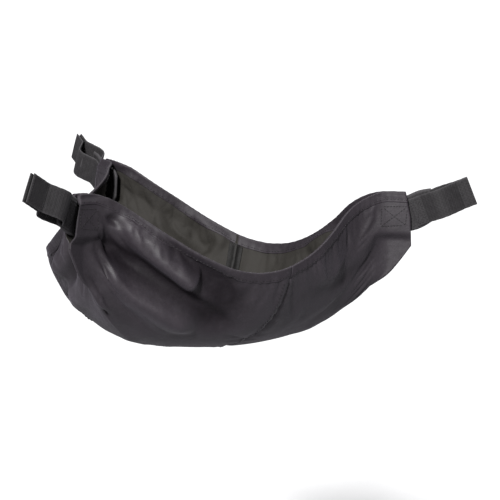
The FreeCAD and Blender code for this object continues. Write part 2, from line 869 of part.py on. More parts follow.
def sand_pouch():
    canvas = doc.addObject("Part::Cut", "sand_pouch")
    canvas.Base = pouch_form("pouch_outer_form", "pouch_outer", 0.0)
    canvas.Tool = pouch_form("pouch_inner_form", "pouch_inner", dim["pouch_skin"])
    doc.recompute()
    keep(canvas, "sand_pouch")


def crown_height(x):
    """Height of the pouch top at distance x from the axis, straight between profile points."""
    points = sorted(pouch_profile(0.0)[4:])
    return next(
        za + (zb - za) * (x - xa) / (xb - xa)
        for (xa, za), (xb, zb) in zip(points, points[1:])
        if xa <= x <= xb
    )


def grab_strap():
    """Strap along X across the pouch top: two feet and a low arch."""
    spacing, foot_lift = 5.5, 1.7
    arch_rise, arch_half = 3.2, 30.0
    half_wide = dim["grab_wide"] / 2
    line = []
    for i in range(-8, 9):
        x = i * spacing
        lift = foot_lift
        if abs(x) < arch_half:
            lift += arch_rise * (1 - (x / arch_half) ** 2) ** 2
        line.append(V(x, 0, crown_height(abs(x)) + lift))
    side = V(0, half_wide, 0)
    sections = []
    for i, low in enumerate(line):
        run = line[min(i + 1, len(line) - 1)] - line[max(i - 1, 0)]
        high = low + unit(V(-run.z, 0, run.x)) * dim["web_thick"]
        sections.append((low - side, low + side, high + side, high - side))
    feature(bar(sections), "pouch_grab_strap")


# ---------------------------------------------------------------- build
gore = gore_solid()
for corner, angle in CORNERS:
    feature(gore.copy(), f"gore_panel_{corner}", at_angle(angle))
for stem, solid in (("rim_binding", rim_binding()), ("seam_tape", seam_tape())):
    for side_name, angle in SIDES:
        feature(solid.copy(), f"{stem}_{side_name}", at_angle(angle))
base_patch("base_patch_outer", 0.0)
base_patch("base_patch_inner", INNER_PATCH_Z)
for corner, angle in CORNERS:
    corner_tab(corner, angle)
    corner_tack(corner, angle)
    strap_anchor(corner, angle)
    box_stitch(corner, angle)
    for kind, side in (("loop", 1), ("hook", -1)):
        bend_x = strap_web(corner, kind, side, angle)
        closure_tape(corner, kind, side, angle)
        closure_stitch(corner, kind, side, angle, bend_x)
sand_fill()
sand_pouch()
grab_strap()

# ---------------------------------------------------------------- check and write
doc.recompute()
for obj in doc.Objects:
    faults = [state for state in obj.State if state in ("Invalid", "Error")]
    if faults:
        raise RuntimeError(f"{obj.Label}: {faults}")
for obj, name in kept:
    shape = obj.Shape
    if shape.isNull() or not shape.isValid() or not shape.Solids:
        raise RuntimeError(f"{name}: the shape is null, not valid or has no solid")
    if any(solid.Volume <= 0 for solid in shape.Solids):
        raise RuntimeError(f"{name}: a solid has no volume")
for file_name in os.listdir("parts"):
    if file_name.endswith(".step"):
        os.remove(os.path.join("parts", file_name))
for obj, name in kept:
    obj.Shape.exportStep(os.path.join("parts", name + ".step"))
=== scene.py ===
"""Three-cornered sling sandbag: a fabric bowl of three gores with hemmed rims, felled seams,
a webbing strap pair at each corner and a sand pouch on the bowl's floor.

The bowl opens upwards, its axis on z and its base near z = 0. The corners point to azimuths
0 (right), 120 (rear) and 240 (left) degrees, and -y is the front. Lengths here are
millimetres; objects are written in metres. "Local" points lie in the frame of the right
corner, x outwards along the corner, before they are turned to their azimuth.
"""
import bpy, bmesh, json, math
import numpy as np
from mathutils import Matrix, Vector, noise
from mathutils.bvhtree import BVHTree

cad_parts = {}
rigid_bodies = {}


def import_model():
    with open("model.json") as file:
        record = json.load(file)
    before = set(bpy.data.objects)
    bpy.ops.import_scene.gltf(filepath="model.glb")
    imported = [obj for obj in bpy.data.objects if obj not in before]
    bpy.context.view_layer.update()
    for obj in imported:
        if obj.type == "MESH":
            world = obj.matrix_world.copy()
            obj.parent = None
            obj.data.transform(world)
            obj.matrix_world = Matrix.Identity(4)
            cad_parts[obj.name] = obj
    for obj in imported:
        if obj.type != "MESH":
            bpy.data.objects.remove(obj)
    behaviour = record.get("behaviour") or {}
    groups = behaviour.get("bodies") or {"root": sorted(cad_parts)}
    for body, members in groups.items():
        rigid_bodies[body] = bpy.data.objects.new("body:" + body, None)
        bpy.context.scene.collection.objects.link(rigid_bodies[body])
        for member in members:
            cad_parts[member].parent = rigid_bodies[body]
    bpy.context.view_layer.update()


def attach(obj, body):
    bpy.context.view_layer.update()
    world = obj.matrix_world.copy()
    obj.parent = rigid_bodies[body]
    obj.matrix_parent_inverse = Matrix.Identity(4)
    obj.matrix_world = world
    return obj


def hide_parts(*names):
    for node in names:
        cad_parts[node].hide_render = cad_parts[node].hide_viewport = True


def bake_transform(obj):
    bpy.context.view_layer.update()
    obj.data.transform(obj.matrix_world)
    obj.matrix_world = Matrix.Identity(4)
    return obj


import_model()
scene = bpy.context.scene
for old in list(bpy.data.objects):
    if old.name in ("Cube", "Light", "Camera"):
        bpy.data.objects.remove(old)

MM = 0.001
STRAP_Z = 132.0        # strap plane above the base
TIP_X, TIP_HALF, TIP_RISE, TIP_DROP = 185.0, 6.8, 6.0, 39.0
TURN = 14.0            # degrees the seam planes are turned from the mid sides
THICK = 1.05           # shell cloth
HEM = 8.5              # hem width
WEB_THICK = 1.5
TACK_X, TACK_Z = 168, 118.0   # bar tack through a folded corner

# name, azimuth in degrees, hems on the local +y and -y sides, strap end from its eye.
# The seam at a gore's +y end shares that side's name.
CORNERS = (("right", 0.0, ("rear_right", "front"), 28.0),
           ("rear", 120.0, ("rear_left", "rear_right"), 31.0),
           ("left", 240.0, ("front", "rear_left"), 41.0))
AZIMUTHS = [corner[1] for corner in CORNERS]
rng = np.random.default_rng(7)


# ------------------------------------------------------------------ curves and vectors
def arc(points):
    """Distance along a polyline at each point."""
    return np.r_[0, np.cumsum(np.linalg.norm(np.diff(points, axis=0), axis=1))]


def sample(points, stations, at):
    """Rows of points, known at the stations, read off at other places."""
    return np.stack([np.interp(at, stations, column) for column in points.T], -1)


def poly(points, fractions):
    """Points at fractions of a polyline's length."""
    length = arc(points)
    return sample(points, length, np.asarray(fractions) * length[-1])


def spline(points):
    """Natural cubic spline through points: its function and the end of its range."""
    points = np.asarray(points, float)
    knots = arc(points)
    count, gap = len(knots), np.diff(knots)
    matrix, rhs = np.zeros((count, count)), np.zeros((count, points.shape[1]))
    matrix[0, 0] = matrix[-1, -1] = 1
    for i in range(1, count - 1):
        matrix[i, i - 1:i + 2] = gap[i - 1], 2 * (gap[i - 1] + gap[i]), gap[i]
        rhs[i] = 6 * ((points[i + 1] - points[i]) / gap[i] - (points[i] - points[i - 1]) / gap[i - 1])
    bend = np.linalg.solve(matrix, rhs)

    def curve(x):
        x = np.clip(np.atleast_1d(x), 0, knots[-1])
        k = np.clip(np.searchsorted(knots, x, side="right") - 1, 0, count - 2)
        a, b = ((knots[k + 1] - x) / gap[k])[:, None], ((x - knots[k]) / gap[k])[:, None]
        cubic = (a ** 3 - a) * bend[k] + (b ** 3 - b) * bend[k + 1]
        return a * points[k] + b * points[k + 1] + cubic * (gap[k] ** 2)[:, None] / 6

    return curve, knots[-1]


def even(points, fractions):
    """Points at fractions of the length of a spline through points."""
    curve, end = spline(points)
    x = np.linspace(0, end, 1200)
    length = arc(curve(x))
    return curve(np.interp(np.asarray(fractions) * length[-1], length, x))


def unit(vectors):
    return vectors / np.maximum(np.linalg.norm(vectors, axis=-1, keepdims=True), 1e-9)


def rotz(points, degrees):
    cos, sin = math.cos(math.radians(degrees)), math.sin(math.radians(degrees))
    points = np.asarray(points, float)
    x, y = points[..., 0], points[..., 1]
    return np.stack([cos * x - sin * y, sin * x + cos * y, points[..., 2]], -1)


def ease(x):
    x = np.clip(x, 0, 1)
    return x * x * (3 - 2 * x)


# ------------------------------------------------------------------ mesh helpers
def grid_faces(rows, cols, offset=0, close_cols=False, close_rows=False, turn=False):
    faces = []
    for i in range(rows if close_rows else rows - 1):
        for j in range(cols if close_cols else cols - 1):
            here, there = offset + i * cols, offset + ((i + 1) % rows) * cols
            k = (j + 1) % cols
            a, b, c, d = here + j, here + k, there + k, there + j
            faces.append((a, d, c, b) if turn else (a, b, c, d))
    return faces


def tube_faces(rings, around, offset=0):
    """Faces of a tube with both ends capped."""
    last = offset + (rings - 1) * around
    return grid_faces(rings, around, offset, close_cols=True) + [
        tuple(range(offset + around - 1, offset - 1, -1)), tuple(range(last, last + around))]


def new_mesh(name, verts, faces, mats=(), slots=None, uv=None):
    """A smooth mesh object in metres from millimetre points."""
    mesh = bpy.data.meshes.new(name)
    verts = np.asarray(verts, float) * MM
    mesh.from_pydata([tuple(v) for v in verts], [], [tuple(int(k) for k in f) for f in faces])
    for mat in mats:
        mesh.materials.append(mat)
    if slots is not None:
        mesh.polygons.foreach_set("material_index", np.asarray(slots, np.int32))
    if uv is not None:
        layer = mesh.uv_layers.new(name="sheet")
        corner_vert = np.zeros(len(mesh.loops), np.int32)
        mesh.loops.foreach_get("vertex_index", corner_vert)
        layer.data.foreach_set("uv", (np.asarray(uv, np.float32)[corner_vert] * MM).ravel())
    mesh.polygons.foreach_set("use_smooth", np.full(len(mesh.polygons), True))
    mesh.update()
    obj = bpy.data.objects.new(name, mesh)
    scene.collection.objects.link(obj)
    return obj


def solid(name, verts, faces, mats, slots=None, uv=None):
    """A closed mesh with its normals turned outwards."""
    obj = new_mesh(name, verts, faces, mats, slots, uv)
    bm = bmesh.new()
    bm.from_mesh(obj.data)
    bmesh.ops.recalc_face_normals(bm, faces=bm.faces)
    bm.to_mesh(obj.data)
    bm.free()
    return obj


def shell(name, near, far, mats, uv):
    """A closed sheet between two grids; the last material goes on the far face."""
    rows, cols = near.shape[:2]
    size = rows * cols
    front = grid_faces(rows, cols)
    border = [(i, 0) for i in range(rows)] + [(rows - 1, j) for j in range(1, cols)] + \
             [(i, cols - 1) for i in range(rows - 2, -1, -1)] + \
             [(0, j) for j in range(cols - 2, 0, -1)]
    ids = [i * cols + j for i, j in border]
    walls = [(a, b, b + size, a + size) for a, b in zip(ids, ids[1:] + ids[:1])]
    slots = [0] * len(front) + [len(mats) - 1] * len(front) + [0] * len(walls)
    uv = uv.reshape(-1, 2)
    return solid(name, np.concatenate([near.reshape(-1, 3), far.reshape(-1, 3)]),
                 front + grid_faces(rows, cols, size, turn=True) + walls,
                 mats, slots, np.concatenate([uv, uv]))


def register(obj, ride=None, replaces=()):
    if replaces:
        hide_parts(*replaces)
    if ride:
        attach(obj, ride)


# ------------------------------------------------------------------ the bare bowl
COS60, SIN60 = math.cos(math.radians(60)), math.sin(math.radians(60))


def from_mid_side(out, side):
    """Local x, y from distances along and across the mid-side direction at 60 degrees."""
    return (out * COS60 + side * SIN60, out * SIN60 - side * COS60)


def mirror60(points):
    """Mirror in the vertical plane at 60 degrees."""
    out = points[..., 0] * COS60 + points[..., 1] * SIN60
    side = points[..., 0] * SIN60 - points[..., 1] * COS60
    return np.stack([out * COS60 - side * SIN60, out * SIN60 + side * COS60, points[..., 2]], -1)


def above_base(points):
    return np.array(points, float) + [0, 0, STRAP_Z]


# The four edges of half a gore; z is taken from the strap plane.
RIM = above_base(
    # x, y, z beside the tip
    [(TIP_X, TIP_HALF, TIP_RISE), (TACK_X, TIP_HALF + .6, TIP_RISE - .4),
     (151.0, TIP_HALF + 4, TIP_RISE - 3.5)]
    # out, side, z towards the mid side
    + [(*from_mid_side(out, side), z) for out, side, z in (
        (88, 103, -9), (101, 83, -23), (112.5, 62, -37), (119.5, 41.5, -47.5),
        (123.6, 20.5, -54.6), (125, 0, -57))])
MID = above_base([(*from_mid_side(out, 0), z) for out, z in (
    (125, -57), (122, -72), (112, -91), (92, -109.5), (62, -123), (28, -129.4), (0, -130))])
KEEL = above_base([(x, 0, z) for x, z in (
    (TIP_X, -TIP_DROP), (172, -56), (152, -77), (131, -94), (95, -115), (60, -125.6),
    (28, -129.5), (0, -130))])
TIP = above_base([(TIP_X, y, z) for y, z in (
    (TIP_HALF, TIP_RISE), (TIP_HALF + .25, TIP_RISE - 12), (TIP_HALF + .25, TIP_RISE - 24),
    (TIP_HALF, -TIP_DROP + 12), (TIP_HALF * .8, -TIP_DROP + 3.6), (0, -TIP_DROP))])

ROWS, COLS = 96, 64                 # steps from tip to seam, and from rim to keel
WIDE = 2 * COLS + 1                 # columns of a whole gore, +y rim to -y rim
GRID = (ROWS + 1) * WIDE
row_at = np.linspace(0, 1, ROWS + 1)
row_at = row_at + 0.06 * np.sin(2 * np.pi * row_at) / (2 * np.pi)   # finer towards tip and seam
col_at = np.linspace(0, 1, COLS + 1) ** 1.12                        # finer towards the rim


def half_patch(rows, cols):
    """Coons patch between rim and keel, tip and mid side."""
    rim, keel, tip, mid = even(RIM, rows), even(KEEL, rows), even(TIP, cols), even(MID, cols)
    a, b = np.asarray(rows)[:, None, None], np.asarray(cols)[None, :, None]
    edges = rim[:, None] * (1 - b) + keel[:, None] * b + tip[None] * (1 - a) + mid[None] * a
    return edges - (rim[0] * (1 - a) * (1 - b) + rim[-1] * a * (1 - b)
                    + keel[0] * (1 - a) * b + keel[-1] * a * b)


def half_gore(turn):
    """Half a gore, every column cut off at its seam plane."""
    base = half_patch(np.linspace(0, 1, 161), col_at)
    seam = math.radians(60 + turn)
    grid = np.zeros((ROWS + 1, COLS + 1, 3))
    for j in range(COLS + 1):
        line = base[:, j]
        if j < COLS:
            line = np.concatenate([line, mirror60(line[:-1][::-1])])
            angle = np.arctan2(line[:, 1], line[:, 0])
            start = int(len(line) * 0.22)
            k = start + int(np.argmax(angle[start:] >= seam))
            t = (seam - angle[k - 1]) / (angle[k] - angle[k - 1])
            line = np.concatenate([line[:k], [line[k - 1] * (1 - t) + line[k] * t]])
        grid[:, j] = poly(line, row_at)
    return grid


plus, minus = half_gore(TURN), half_gore(-TURN)
minus[..., 1] *= -1
gore = np.concatenate([plus, minus[:, ::-1][:, 1:]], axis=1)
gores = [rotz(gore, azimuth) for azimuth in AZIMUTHS]

# sheet coordinates: across the gore from its keel, and along it from the tip
step = np.linalg.norm(np.diff(gore, axis=1), axis=2)
across = np.concatenate([np.zeros((ROWS + 1, 1)), np.cumsum(step, 1)], 1)
across -= across[:, COLS:COLS + 1]
step = np.linalg.norm(np.diff(gore, axis=0), axis=2)
along = np.concatenate([np.zeros((1, WIDE)), np.cumsum(step, 0)], 0)
sheet_uv = np.stack([across, along], -1)

# one welded sheet of all three gores
gore_points = np.concatenate([grid.reshape(-1, 3) for grid in gores])
_, first, weld_id = np.unique(np.round(gore_points / 0.02).astype(np.int64), axis=0,
                              return_index=True, return_inverse=True)
weld_id = weld_id.reshape(-1)
sheet = gore_points[first].copy()
quads = np.concatenate([weld_id[np.array(grid_faces(ROWS + 1, WIDE, g * GRID, turn=True))]
                        for g in range(3)])


def sheet_normals(points):
    a, b, c, d = (points[quads[:, k]] for k in range(4))
    normal = np.cross(c - a, d - b)
    total = np.zeros_like(points)
    for k in range(4):
        np.add.at(total, quads[:, k], normal)
    return unit(total)


def weld(pick, values, start):
    """A gore's values gathered on the welded sheet by minimum or maximum."""
    out = np.full(len(sheet), start)
    pick.at(out, weld_id, np.tile(values.ravel(), 3))
    return out


def unweld(values):
    """Values of the welded sheet on the three gore grids."""
    return values[weld_id].reshape(3, ROWS + 1, WIDE, *values.shape[1:])


# the outside faces away from the axis and down
bare_normal = sheet_normals(sheet)
away = np.stack([sheet[:, 0], sheet[:, 1], np.full(len(sheet), -60.0)], -1)
outward = -1 if (bare_normal * away).sum(1).mean() < 0 else 1
bare_normal = bare_normal * outward

seam_gap = along[-1:] - along
plus_half = np.zeros((ROWS + 1, WIDE))
plus_half[:, :COLS] = 1.0
from_rim = weld(np.minimum, np.minimum(across - across[:, :1], across[:, -1:] - across), 1e9)
from_seam = weld(np.minimum, seam_gap, 1e9)
lap_side = weld(np.maximum, plus_half, 0.0)
radius = np.hypot(sheet[:, 0], sheet[:, 1])
tip_mask = np.zeros(len(sheet))
for azimuth in AZIMUTHS:
    local = rotz(sheet, -azimuth)
    near_tip = ease((local[:, 0] - 148) / 18.0) * (np.abs(local[:, 1]) < 30)
    tip_mask = np.maximum(tip_mask, near_tip)

# ------------------------------------------------------------------ folds in the loaded cloth
# Folds of the left corner's front half, running towards the front seam:
# points x, y, z; height (negative is a valley); start and end width; fractions of
# the length over which the fold rises and dies away.
FOLDS = [
    ([(-57, -134, 118), (-50, -131, 113), (-29, -129, 98), (-10, -129, 85), (4, -126, 73),
      (14, -122, 63)], 7.5, 7.5, 11.5, .18, .10),
    ([(-71, -144, 104), (-52, -131, 90), (-31, -127, 76), (-8, -122, 60), (15, -110, 42),
      (38, -83, 23)], -11.5, 7.0, 12.5, .12, .16),
    ([(-22, -129, 108), (0, -129, 92), (23, -123, 73), (37, -114, 55), (42, -97, 34)],
     -13.0, 7, 13.5, .22, .35),
    ([(-66, -134, 79), (-58, -130, 69), (-37, -120, 56), (-12, -111, 42), (14, -94, 26)],
     9.0, 9.5, 14, .15, .3),
    ([(-69, -141, 94), (-64, -134, 78), (-63, -127, 60)], -3.2, 3.6, 6, .1, .4),
    ([(-84, -156, 94), (-77, -145, 74), (-70, -132, 55)], -3.6, 4, 6.5, .2, .3),
    ([(-93, -139, 95), (-83, -153, 104), (-74, -148, 107)], -3.2, 2.4, 3.4, .2, .3),
    ([(-92, -147, 84), (-75, -136, 61), (-64, -114, 39)], 3.0, 4.5, 8, .2, .3),
    ([(-80, -148, 120), (-66, -139, 118), (-50, -131, 116)], -2.4, 2.6, 4.5, .2, .4),
    ([(-85, -146, 66), (-72, -127, 45), (-60, -104, 29)], -2.8, 3.0, 5, .2, .3),
]
# the calmer front half of the right corner, in the same columns
CALM_FOLDS = [
    ([(104, -92, 80), (124, -52, 78), (146, -22, 92), (166, -10, 108)], 3.2, 13, 8, .3, .3),
    ([(98, -88, 52), (122, -46, 58), (148, -16, 76), (170, -8, 98)], -3.4, 12, 6, .3, .3),
    ([(150, -14, 70), (128, -28, 48), (100, -44, 27)], 2.2, 6, 12, .2, .4),
    ([(172, -8, 100), (158, -13, 92), (140, -27, 86)], -1.8, 3, 7, .2, .5),
]
# other half gores that borrow FOLDS: azimuth, mirrored, share of the height, jitter
FOLD_COPIES = ((240.0, True, .6, 2.6), (120.0, False, .58, 3.0), (120.0, True, .46, 3.0),
               (0.0, False, .46, 3.2))
# rim beside a tip, where the hem's gathers start: local x, then z and y there
GATHER_X, GATHER_Z, GATHER_Y = (110, 135, 151, 168), (100, 113, 127, 130), (52, 28, 11, 7.4)


def fold(line, height, start_width, end_width, head, tail):
    """Height over the sheet of one soft ridge or valley along a line."""
    nearest, place = np.full(len(sheet), 1e9), np.zeros(len(sheet))
    for k, centre in enumerate(even(np.array(line, float), np.linspace(0, 1, 60))):
        square = ((sheet - centre) ** 2).sum(1)
        closer = square < nearest
        nearest[closer], place[closer] = square[closer], k / 59
    width = start_width + (end_width - start_width) * place
    return height * np.exp(-nearest / width ** 2) * ease(place / head + 0.15) \
        * ease((1 - place) / tail + 0.1)


def copy_fold(line, azimuth, mirror, jitter):
    """Carry a fold of the left corner's front half to another half gore."""
    points = rotz(np.array(line, float), -240)
    if mirror:
        points[:, 1] *= -1
    points[1:-1] += jitter * rng.normal(size=(len(points) - 2, 3))
    points[:, 2] += jitter * rng.normal()
    return rotz(points, azimuth)


def corner_creases():
    """Short creases fanning from each corner."""
    total = np.zeros(len(sheet))
    t = np.linspace(0, 1, 6)
    for grid, (name, *_) in zip(gores, CORNERS):
        for side in (0, 1):
            calm = 0.45 if (name == "right" and side == 1) else 1.0
            for _ in range(9):
                col0, col1 = rng.uniform(0.12, 0.98), rng.uniform(0.05, 0.95)
                col1 = col0 + np.clip(col1 - col0, -0.25, 0.25)
                row0, row1 = rng.uniform(0.05, 0.16), rng.uniform(0.24, 0.5)
                i = np.clip(((row0 + (row1 - row0) * t) * ROWS).astype(int), 0, ROWS)
                j = (col0 + (col1 - col0) * t) * COLS
                j = np.round(j if side == 0 else 2 * COLS - j).astype(int)
                j = np.clip(j, 0, WIDE - 1)
                total += fold(grid[i, j], calm * rng.choice([-1, 1]) * rng.uniform(0.5, 1.4),
                              2.4, rng.uniform(3.5, 6), .2, .5)
    return total


def hem_gathers():
    """Gathers held by the hem beside each folded corner."""
    total = np.zeros(len(sheet))
    for azimuth in AZIMUTHS:
        for side in (1, -1):
            for _ in range(7):
                x = rng.uniform(120, 160)
                z = float(np.interp(x, GATHER_X, GATHER_Z)) - rng.uniform(3, 7)
                y = float(np.interp(x, GATHER_X, GATHER_Y))
                run = rng.uniform(14, 30)
                lean = rng.uniform(-0.1, 0.7)
                line = [(x - lean * run * t, (y + out) * side, z - run * t)
                        for t, out in ((0, 0), (.5, 2), (1, 4))]
                total += fold(rotz(line, azimuth), rng.choice([-1, 1]) * rng.uniform(0.5, 1.3),
                              1.8, rng.uniform(2.6, 4.5), .3, .5)
    return total


def fold_heights():
    """All folds and unevenness, held flat where the sheet is sewn or filled."""
    height = np.zeros(len(sheet))
    for row in FOLDS:
        height += fold(*row)
    for azimuth, mirror, gain, jitter in FOLD_COPIES:
        for line, rise, start_width, end_width, head, tail in FOLDS:
            share = gain * rng.uniform(0.55, 1.15)
            height += fold(copy_fold(line, azimuth, mirror, jitter), rise * share,
                           start_width * 1.05, end_width * 1.1, head, tail)
    for row in CALM_FOLDS:
        height += fold(*row)
    height += corner_creases()
    height += hem_gathers()
    # soft unevenness of a loaded sheet
    height += 1.5 * np.array([noise.fractal(Vector(p * 0.021), 0.9, 2.1, 3) for p in sheet])
    height += 0.35 * np.array([noise.noise(Vector((x * 0.085, y * 0.085, z * 0.05)))
                               for x, y, z in sheet])
    height *= 1.5
    height *= 0.12 + 0.88 * ease(from_rim / 11.0)               # the hem holds the rim
    height = 15.0 * np.tanh(height / 15.0)
    height *= 0.35 + 0.65 * ease((from_seam - 1) / 16.0)        # a felled seam is stiff
    height *= ease((radius - 22) / 30.0)                        # flat under the patch
    # the pouch fills the bowl's floor
    height = np.where(height < 0, height * ease((radius - 79) / 24.0), height)
    for _ in range(2):                                          # heavy cloth holds no sharp pit
        total, count = np.zeros(len(height)), np.zeros(len(height))
        for a, b in ((0, 1), (1, 2), (2, 3), (3, 0)):
            for u, v in ((a, b), (b, a)):
                np.add.at(total, quads[:, u], height[quads[:, v]])
                np.add.at(count, quads[:, u], 1.0)
        height = 0.5 * height + 0.5 * total / np.maximum(count, 1)
    return height * (1 - 0.93 * tip_mask)                       # sewn flat at the corner


def draw_tips(points):
    """Draw the folded tips together over the webbing."""
    for azimuth in AZIMUTHS:
        local = rotz(points, -azimuth)
        near = ease((local[:, 0] - 146) / 22.0) * (np.abs(local[:, 1]) < 30)
        local[:, 1] *= 1 - 0.2 * near
        z = local[:, 2]
        shut = near * np.maximum(ease((105 - z) / 8.0), 0.5 * ease((z - 131) / 5.0))
        far = np.abs(local[:, 1])
        least = np.where(z < 112, 1.12, 1.85)
        drawn = np.where(far > least, np.maximum(least, far * (1 - 0.85 * shut)), far)
        local[:, 1] = np.sign(local[:, 1]) * drawn
        local[:, 0] -= np.where(z > 118, 0.24, 0.08) * (z - 118) * near   # the end leans
        points = rotz(local, azimuth)
    return points


def settle(points):
    """Cloth simulation: the sheet, a little too big for its frame, relaxes under its load."""
    obj = new_mesh("settling_sheet", points, quads)
    pin = obj.vertex_groups.new(name="pin")
    hold = np.maximum(np.exp(-(from_rim / 5.0) ** 2), ease((tip_mask - 0.2) / 0.5))
    hold = np.maximum(hold, ease((34 - radius) / 14.0))
    hold = np.maximum(hold, 0.16 * np.exp(-(from_seam / 6.0) ** 2))
    for k, weight in enumerate(hold):
        if weight > 0.02:
            pin.add([k], float(weight), "REPLACE")
    cloth = obj.modifiers.new("cloth", "CLOTH")
    for key, value in dict(
            quality=6, mass=0.25, tension_stiffness=24, compression_stiffness=24,
            shear_stiffness=8, bending_stiffness=0.9, tension_damping=12,
            compression_damping=12, shear_damping=8, bending_damping=1.5, air_damping=4,
            shrink_min=-0.022, vertex_group_mass="pin", pin_stiffness=8).items():
        setattr(cloth.settings, key, value)
    cloth.settings.effector_weights.gravity = 0.22
    cloth.collision_settings.use_collision = False
    cloth.collision_settings.use_self_collision = False
    cloth.point_cache.frame_start, cloth.point_cache.frame_end = 1, 24
    for frame in range(1, 19):
        scene.frame_set(frame)
    mesh = obj.evaluated_get(bpy.context.evaluated_depsgraph_get()).to_mesh()
    flat = np.zeros(len(points) * 3, np.float32)
    mesh.vertices.foreach_get("co", flat)
    scene.frame_set(1)
    bpy.data.objects.remove(obj)
    move = flat.reshape(-1, 3).astype(float) / MM - points
    size = np.linalg.norm(move, axis=1)
    cap = 4.0                                                   # no point moves further
    move *= (np.tanh(size / cap) * cap / np.maximum(size, 1e-6))[:, None]
    return points + move * (1 - hold)[:, None]


fold_height = fold_heights()
draped = draw_tips(sheet + bare_normal * fold_height[:, None])
draped = settle(draped)
draped_normal = sheet_normals(draped) * outward


def sew(points, normal):
    """Felled seams, a fine valley with a raised lap beside it, and puckers along the hem."""
    groove = -1.25 * np.exp(-(from_seam / 1.5) ** 2)
    lap = 0.55 * lap_side * ease((from_seam - 1.2) / 1.2) * ease((9.0 - from_seam) / 1.0)
    pucker = 0.22 * np.sin(sheet[:, 2] / 4.6 * math.pi + radius / 5.0) \
        * np.exp(-((from_seam - 5) / 5.0) ** 2)
    points = points + normal * ((groove + lap + pucker) * ease((radius - 24) / 6.0))[:, None]
    ripple = 0.35 * np.sin(sheet[:, 0] / 7.3 + sheet[:, 1] / 8.7) \
        * np.exp(-((from_rim - 11) / 5.0) ** 2) * (1 - tip_mask)
    return points + normal * ripple[:, None]


sewn = sew(draped, draped_normal)
outer, outer_normal = unweld(sewn), unweld(sheet_normals(sewn) * outward)
# each gore's seam edge stands a little back from the seam plane
for g, azimuth in enumerate(AZIMUTHS):
    for sign, cols in ((1, slice(0, COLS)), (-1, slice(COLS + 1, WIDE))):
        angle = math.radians(azimuth + sign * 60 + TURN)
        inwards = np.array([math.sin(angle), -math.cos(angle), 0.0]) * sign
        outer[g][:, cols] += inwards * 0.1 * np.exp(-(seam_gap[:, cols] / 1.2) ** 2)[..., None]
inner = outer - outer_normal * THICK


# ------------------------------------------------------------------ materials
class Graph:
    """Short calls for adding and linking shader nodes."""

    def __init__(self, tree):
        self.tree = tree

    def link(self, source, socket):
        self.tree.links.new(source, socket)

    def add(self, kind, **values):
        node = self.tree.nodes.new(kind)
        for key, value in values.items():
            node.inputs[key].default_value = value
        return node

    def feed(self, socket, value):
        if isinstance(value, tuple):
            socket.default_value = (*value, 1.0)
        elif isinstance(value, (int, float)):
            socket.default_value = value
        else:
            self.link(value, socket)

    def math(self, operation, *values, clamp=False):
        node = self.add("ShaderNodeMath")
        node.operation = operation
        node.use_clamp = clamp
        for socket, value in zip(node.inputs, values):
            self.feed(socket, value)
        return node.outputs[0]

    def times(self, a, b):
        return self.math("MULTIPLY", a, b)

    def plus(self, a, b):
        return self.math("ADD", a, b)

    def invert(self, value):
        return self.math("SUBTRACT", 1.0, value)

    def mix(self, factor, a, b, blend="MIX"):
        node = self.add("ShaderNodeMix")
        node.data_type = "RGBA"
        node.blend_type = blend
        for k, value in ((0, factor), (6, a), (7, b)):
            self.feed(node.inputs[k], value)
        return node.outputs[2]

    def ramp(self, source, *stops):
        """Grey ramp from (position, value) stops."""
        node = self.add("ShaderNodeValToRGB")
        elements = node.color_ramp.elements
        while len(elements) > 1:
            elements.remove(elements[0])
        elements[0].position = stops[0][0]
        for k, (position, value) in enumerate(stops):
            element = elements.new(position) if k else elements[0]
            element.color = (value, value, value, 1)
        self.link(source, node.inputs[0])
        return node.outputs[0]

    def noise(self, where, **values):
        node = self.add("ShaderNodeTexNoise", **values)
        self.link(where, node.inputs["Vector"])
        return node.outputs[0]


def weave_height(graph, coords, pitch, from_object, ribs, twill):
    """Crossing warp and weft threads, 0 to 1."""
    parts = graph.add("ShaderNodeSeparateXYZ")
    graph.link(coords.outputs["Object" if from_object else "UV"], parts.inputs[0])
    x, y, z = parts.outputs
    if from_object:
        x = graph.plus(x, graph.times(z, 0.31))
        y = graph.plus(y, graph.times(z, 0.87))
    frequency = math.pi / (pitch * MM)
    weft_frequency = frequency * (0.5 if twill else 0.33 if ribs else 1.0)

    def wave(value, rate):
        return graph.math("SINE", graph.times(value, rate))

    warp = graph.math("ABSOLUTE", wave(graph.plus(x, y) if twill else x, frequency))
    weft = graph.math("ABSOLUTE", wave(y, weft_frequency))
    threads = graph.plus(graph.times(warp, 0.5), graph.times(weft, 0.5))
    over = graph.times(wave(x, frequency), wave(y, frequency))
    over = graph.plus(graph.times(over, 0.5), 0.5)
    return graph.plus(graph.times(threads, 0.6), graph.times(over, 0.4))


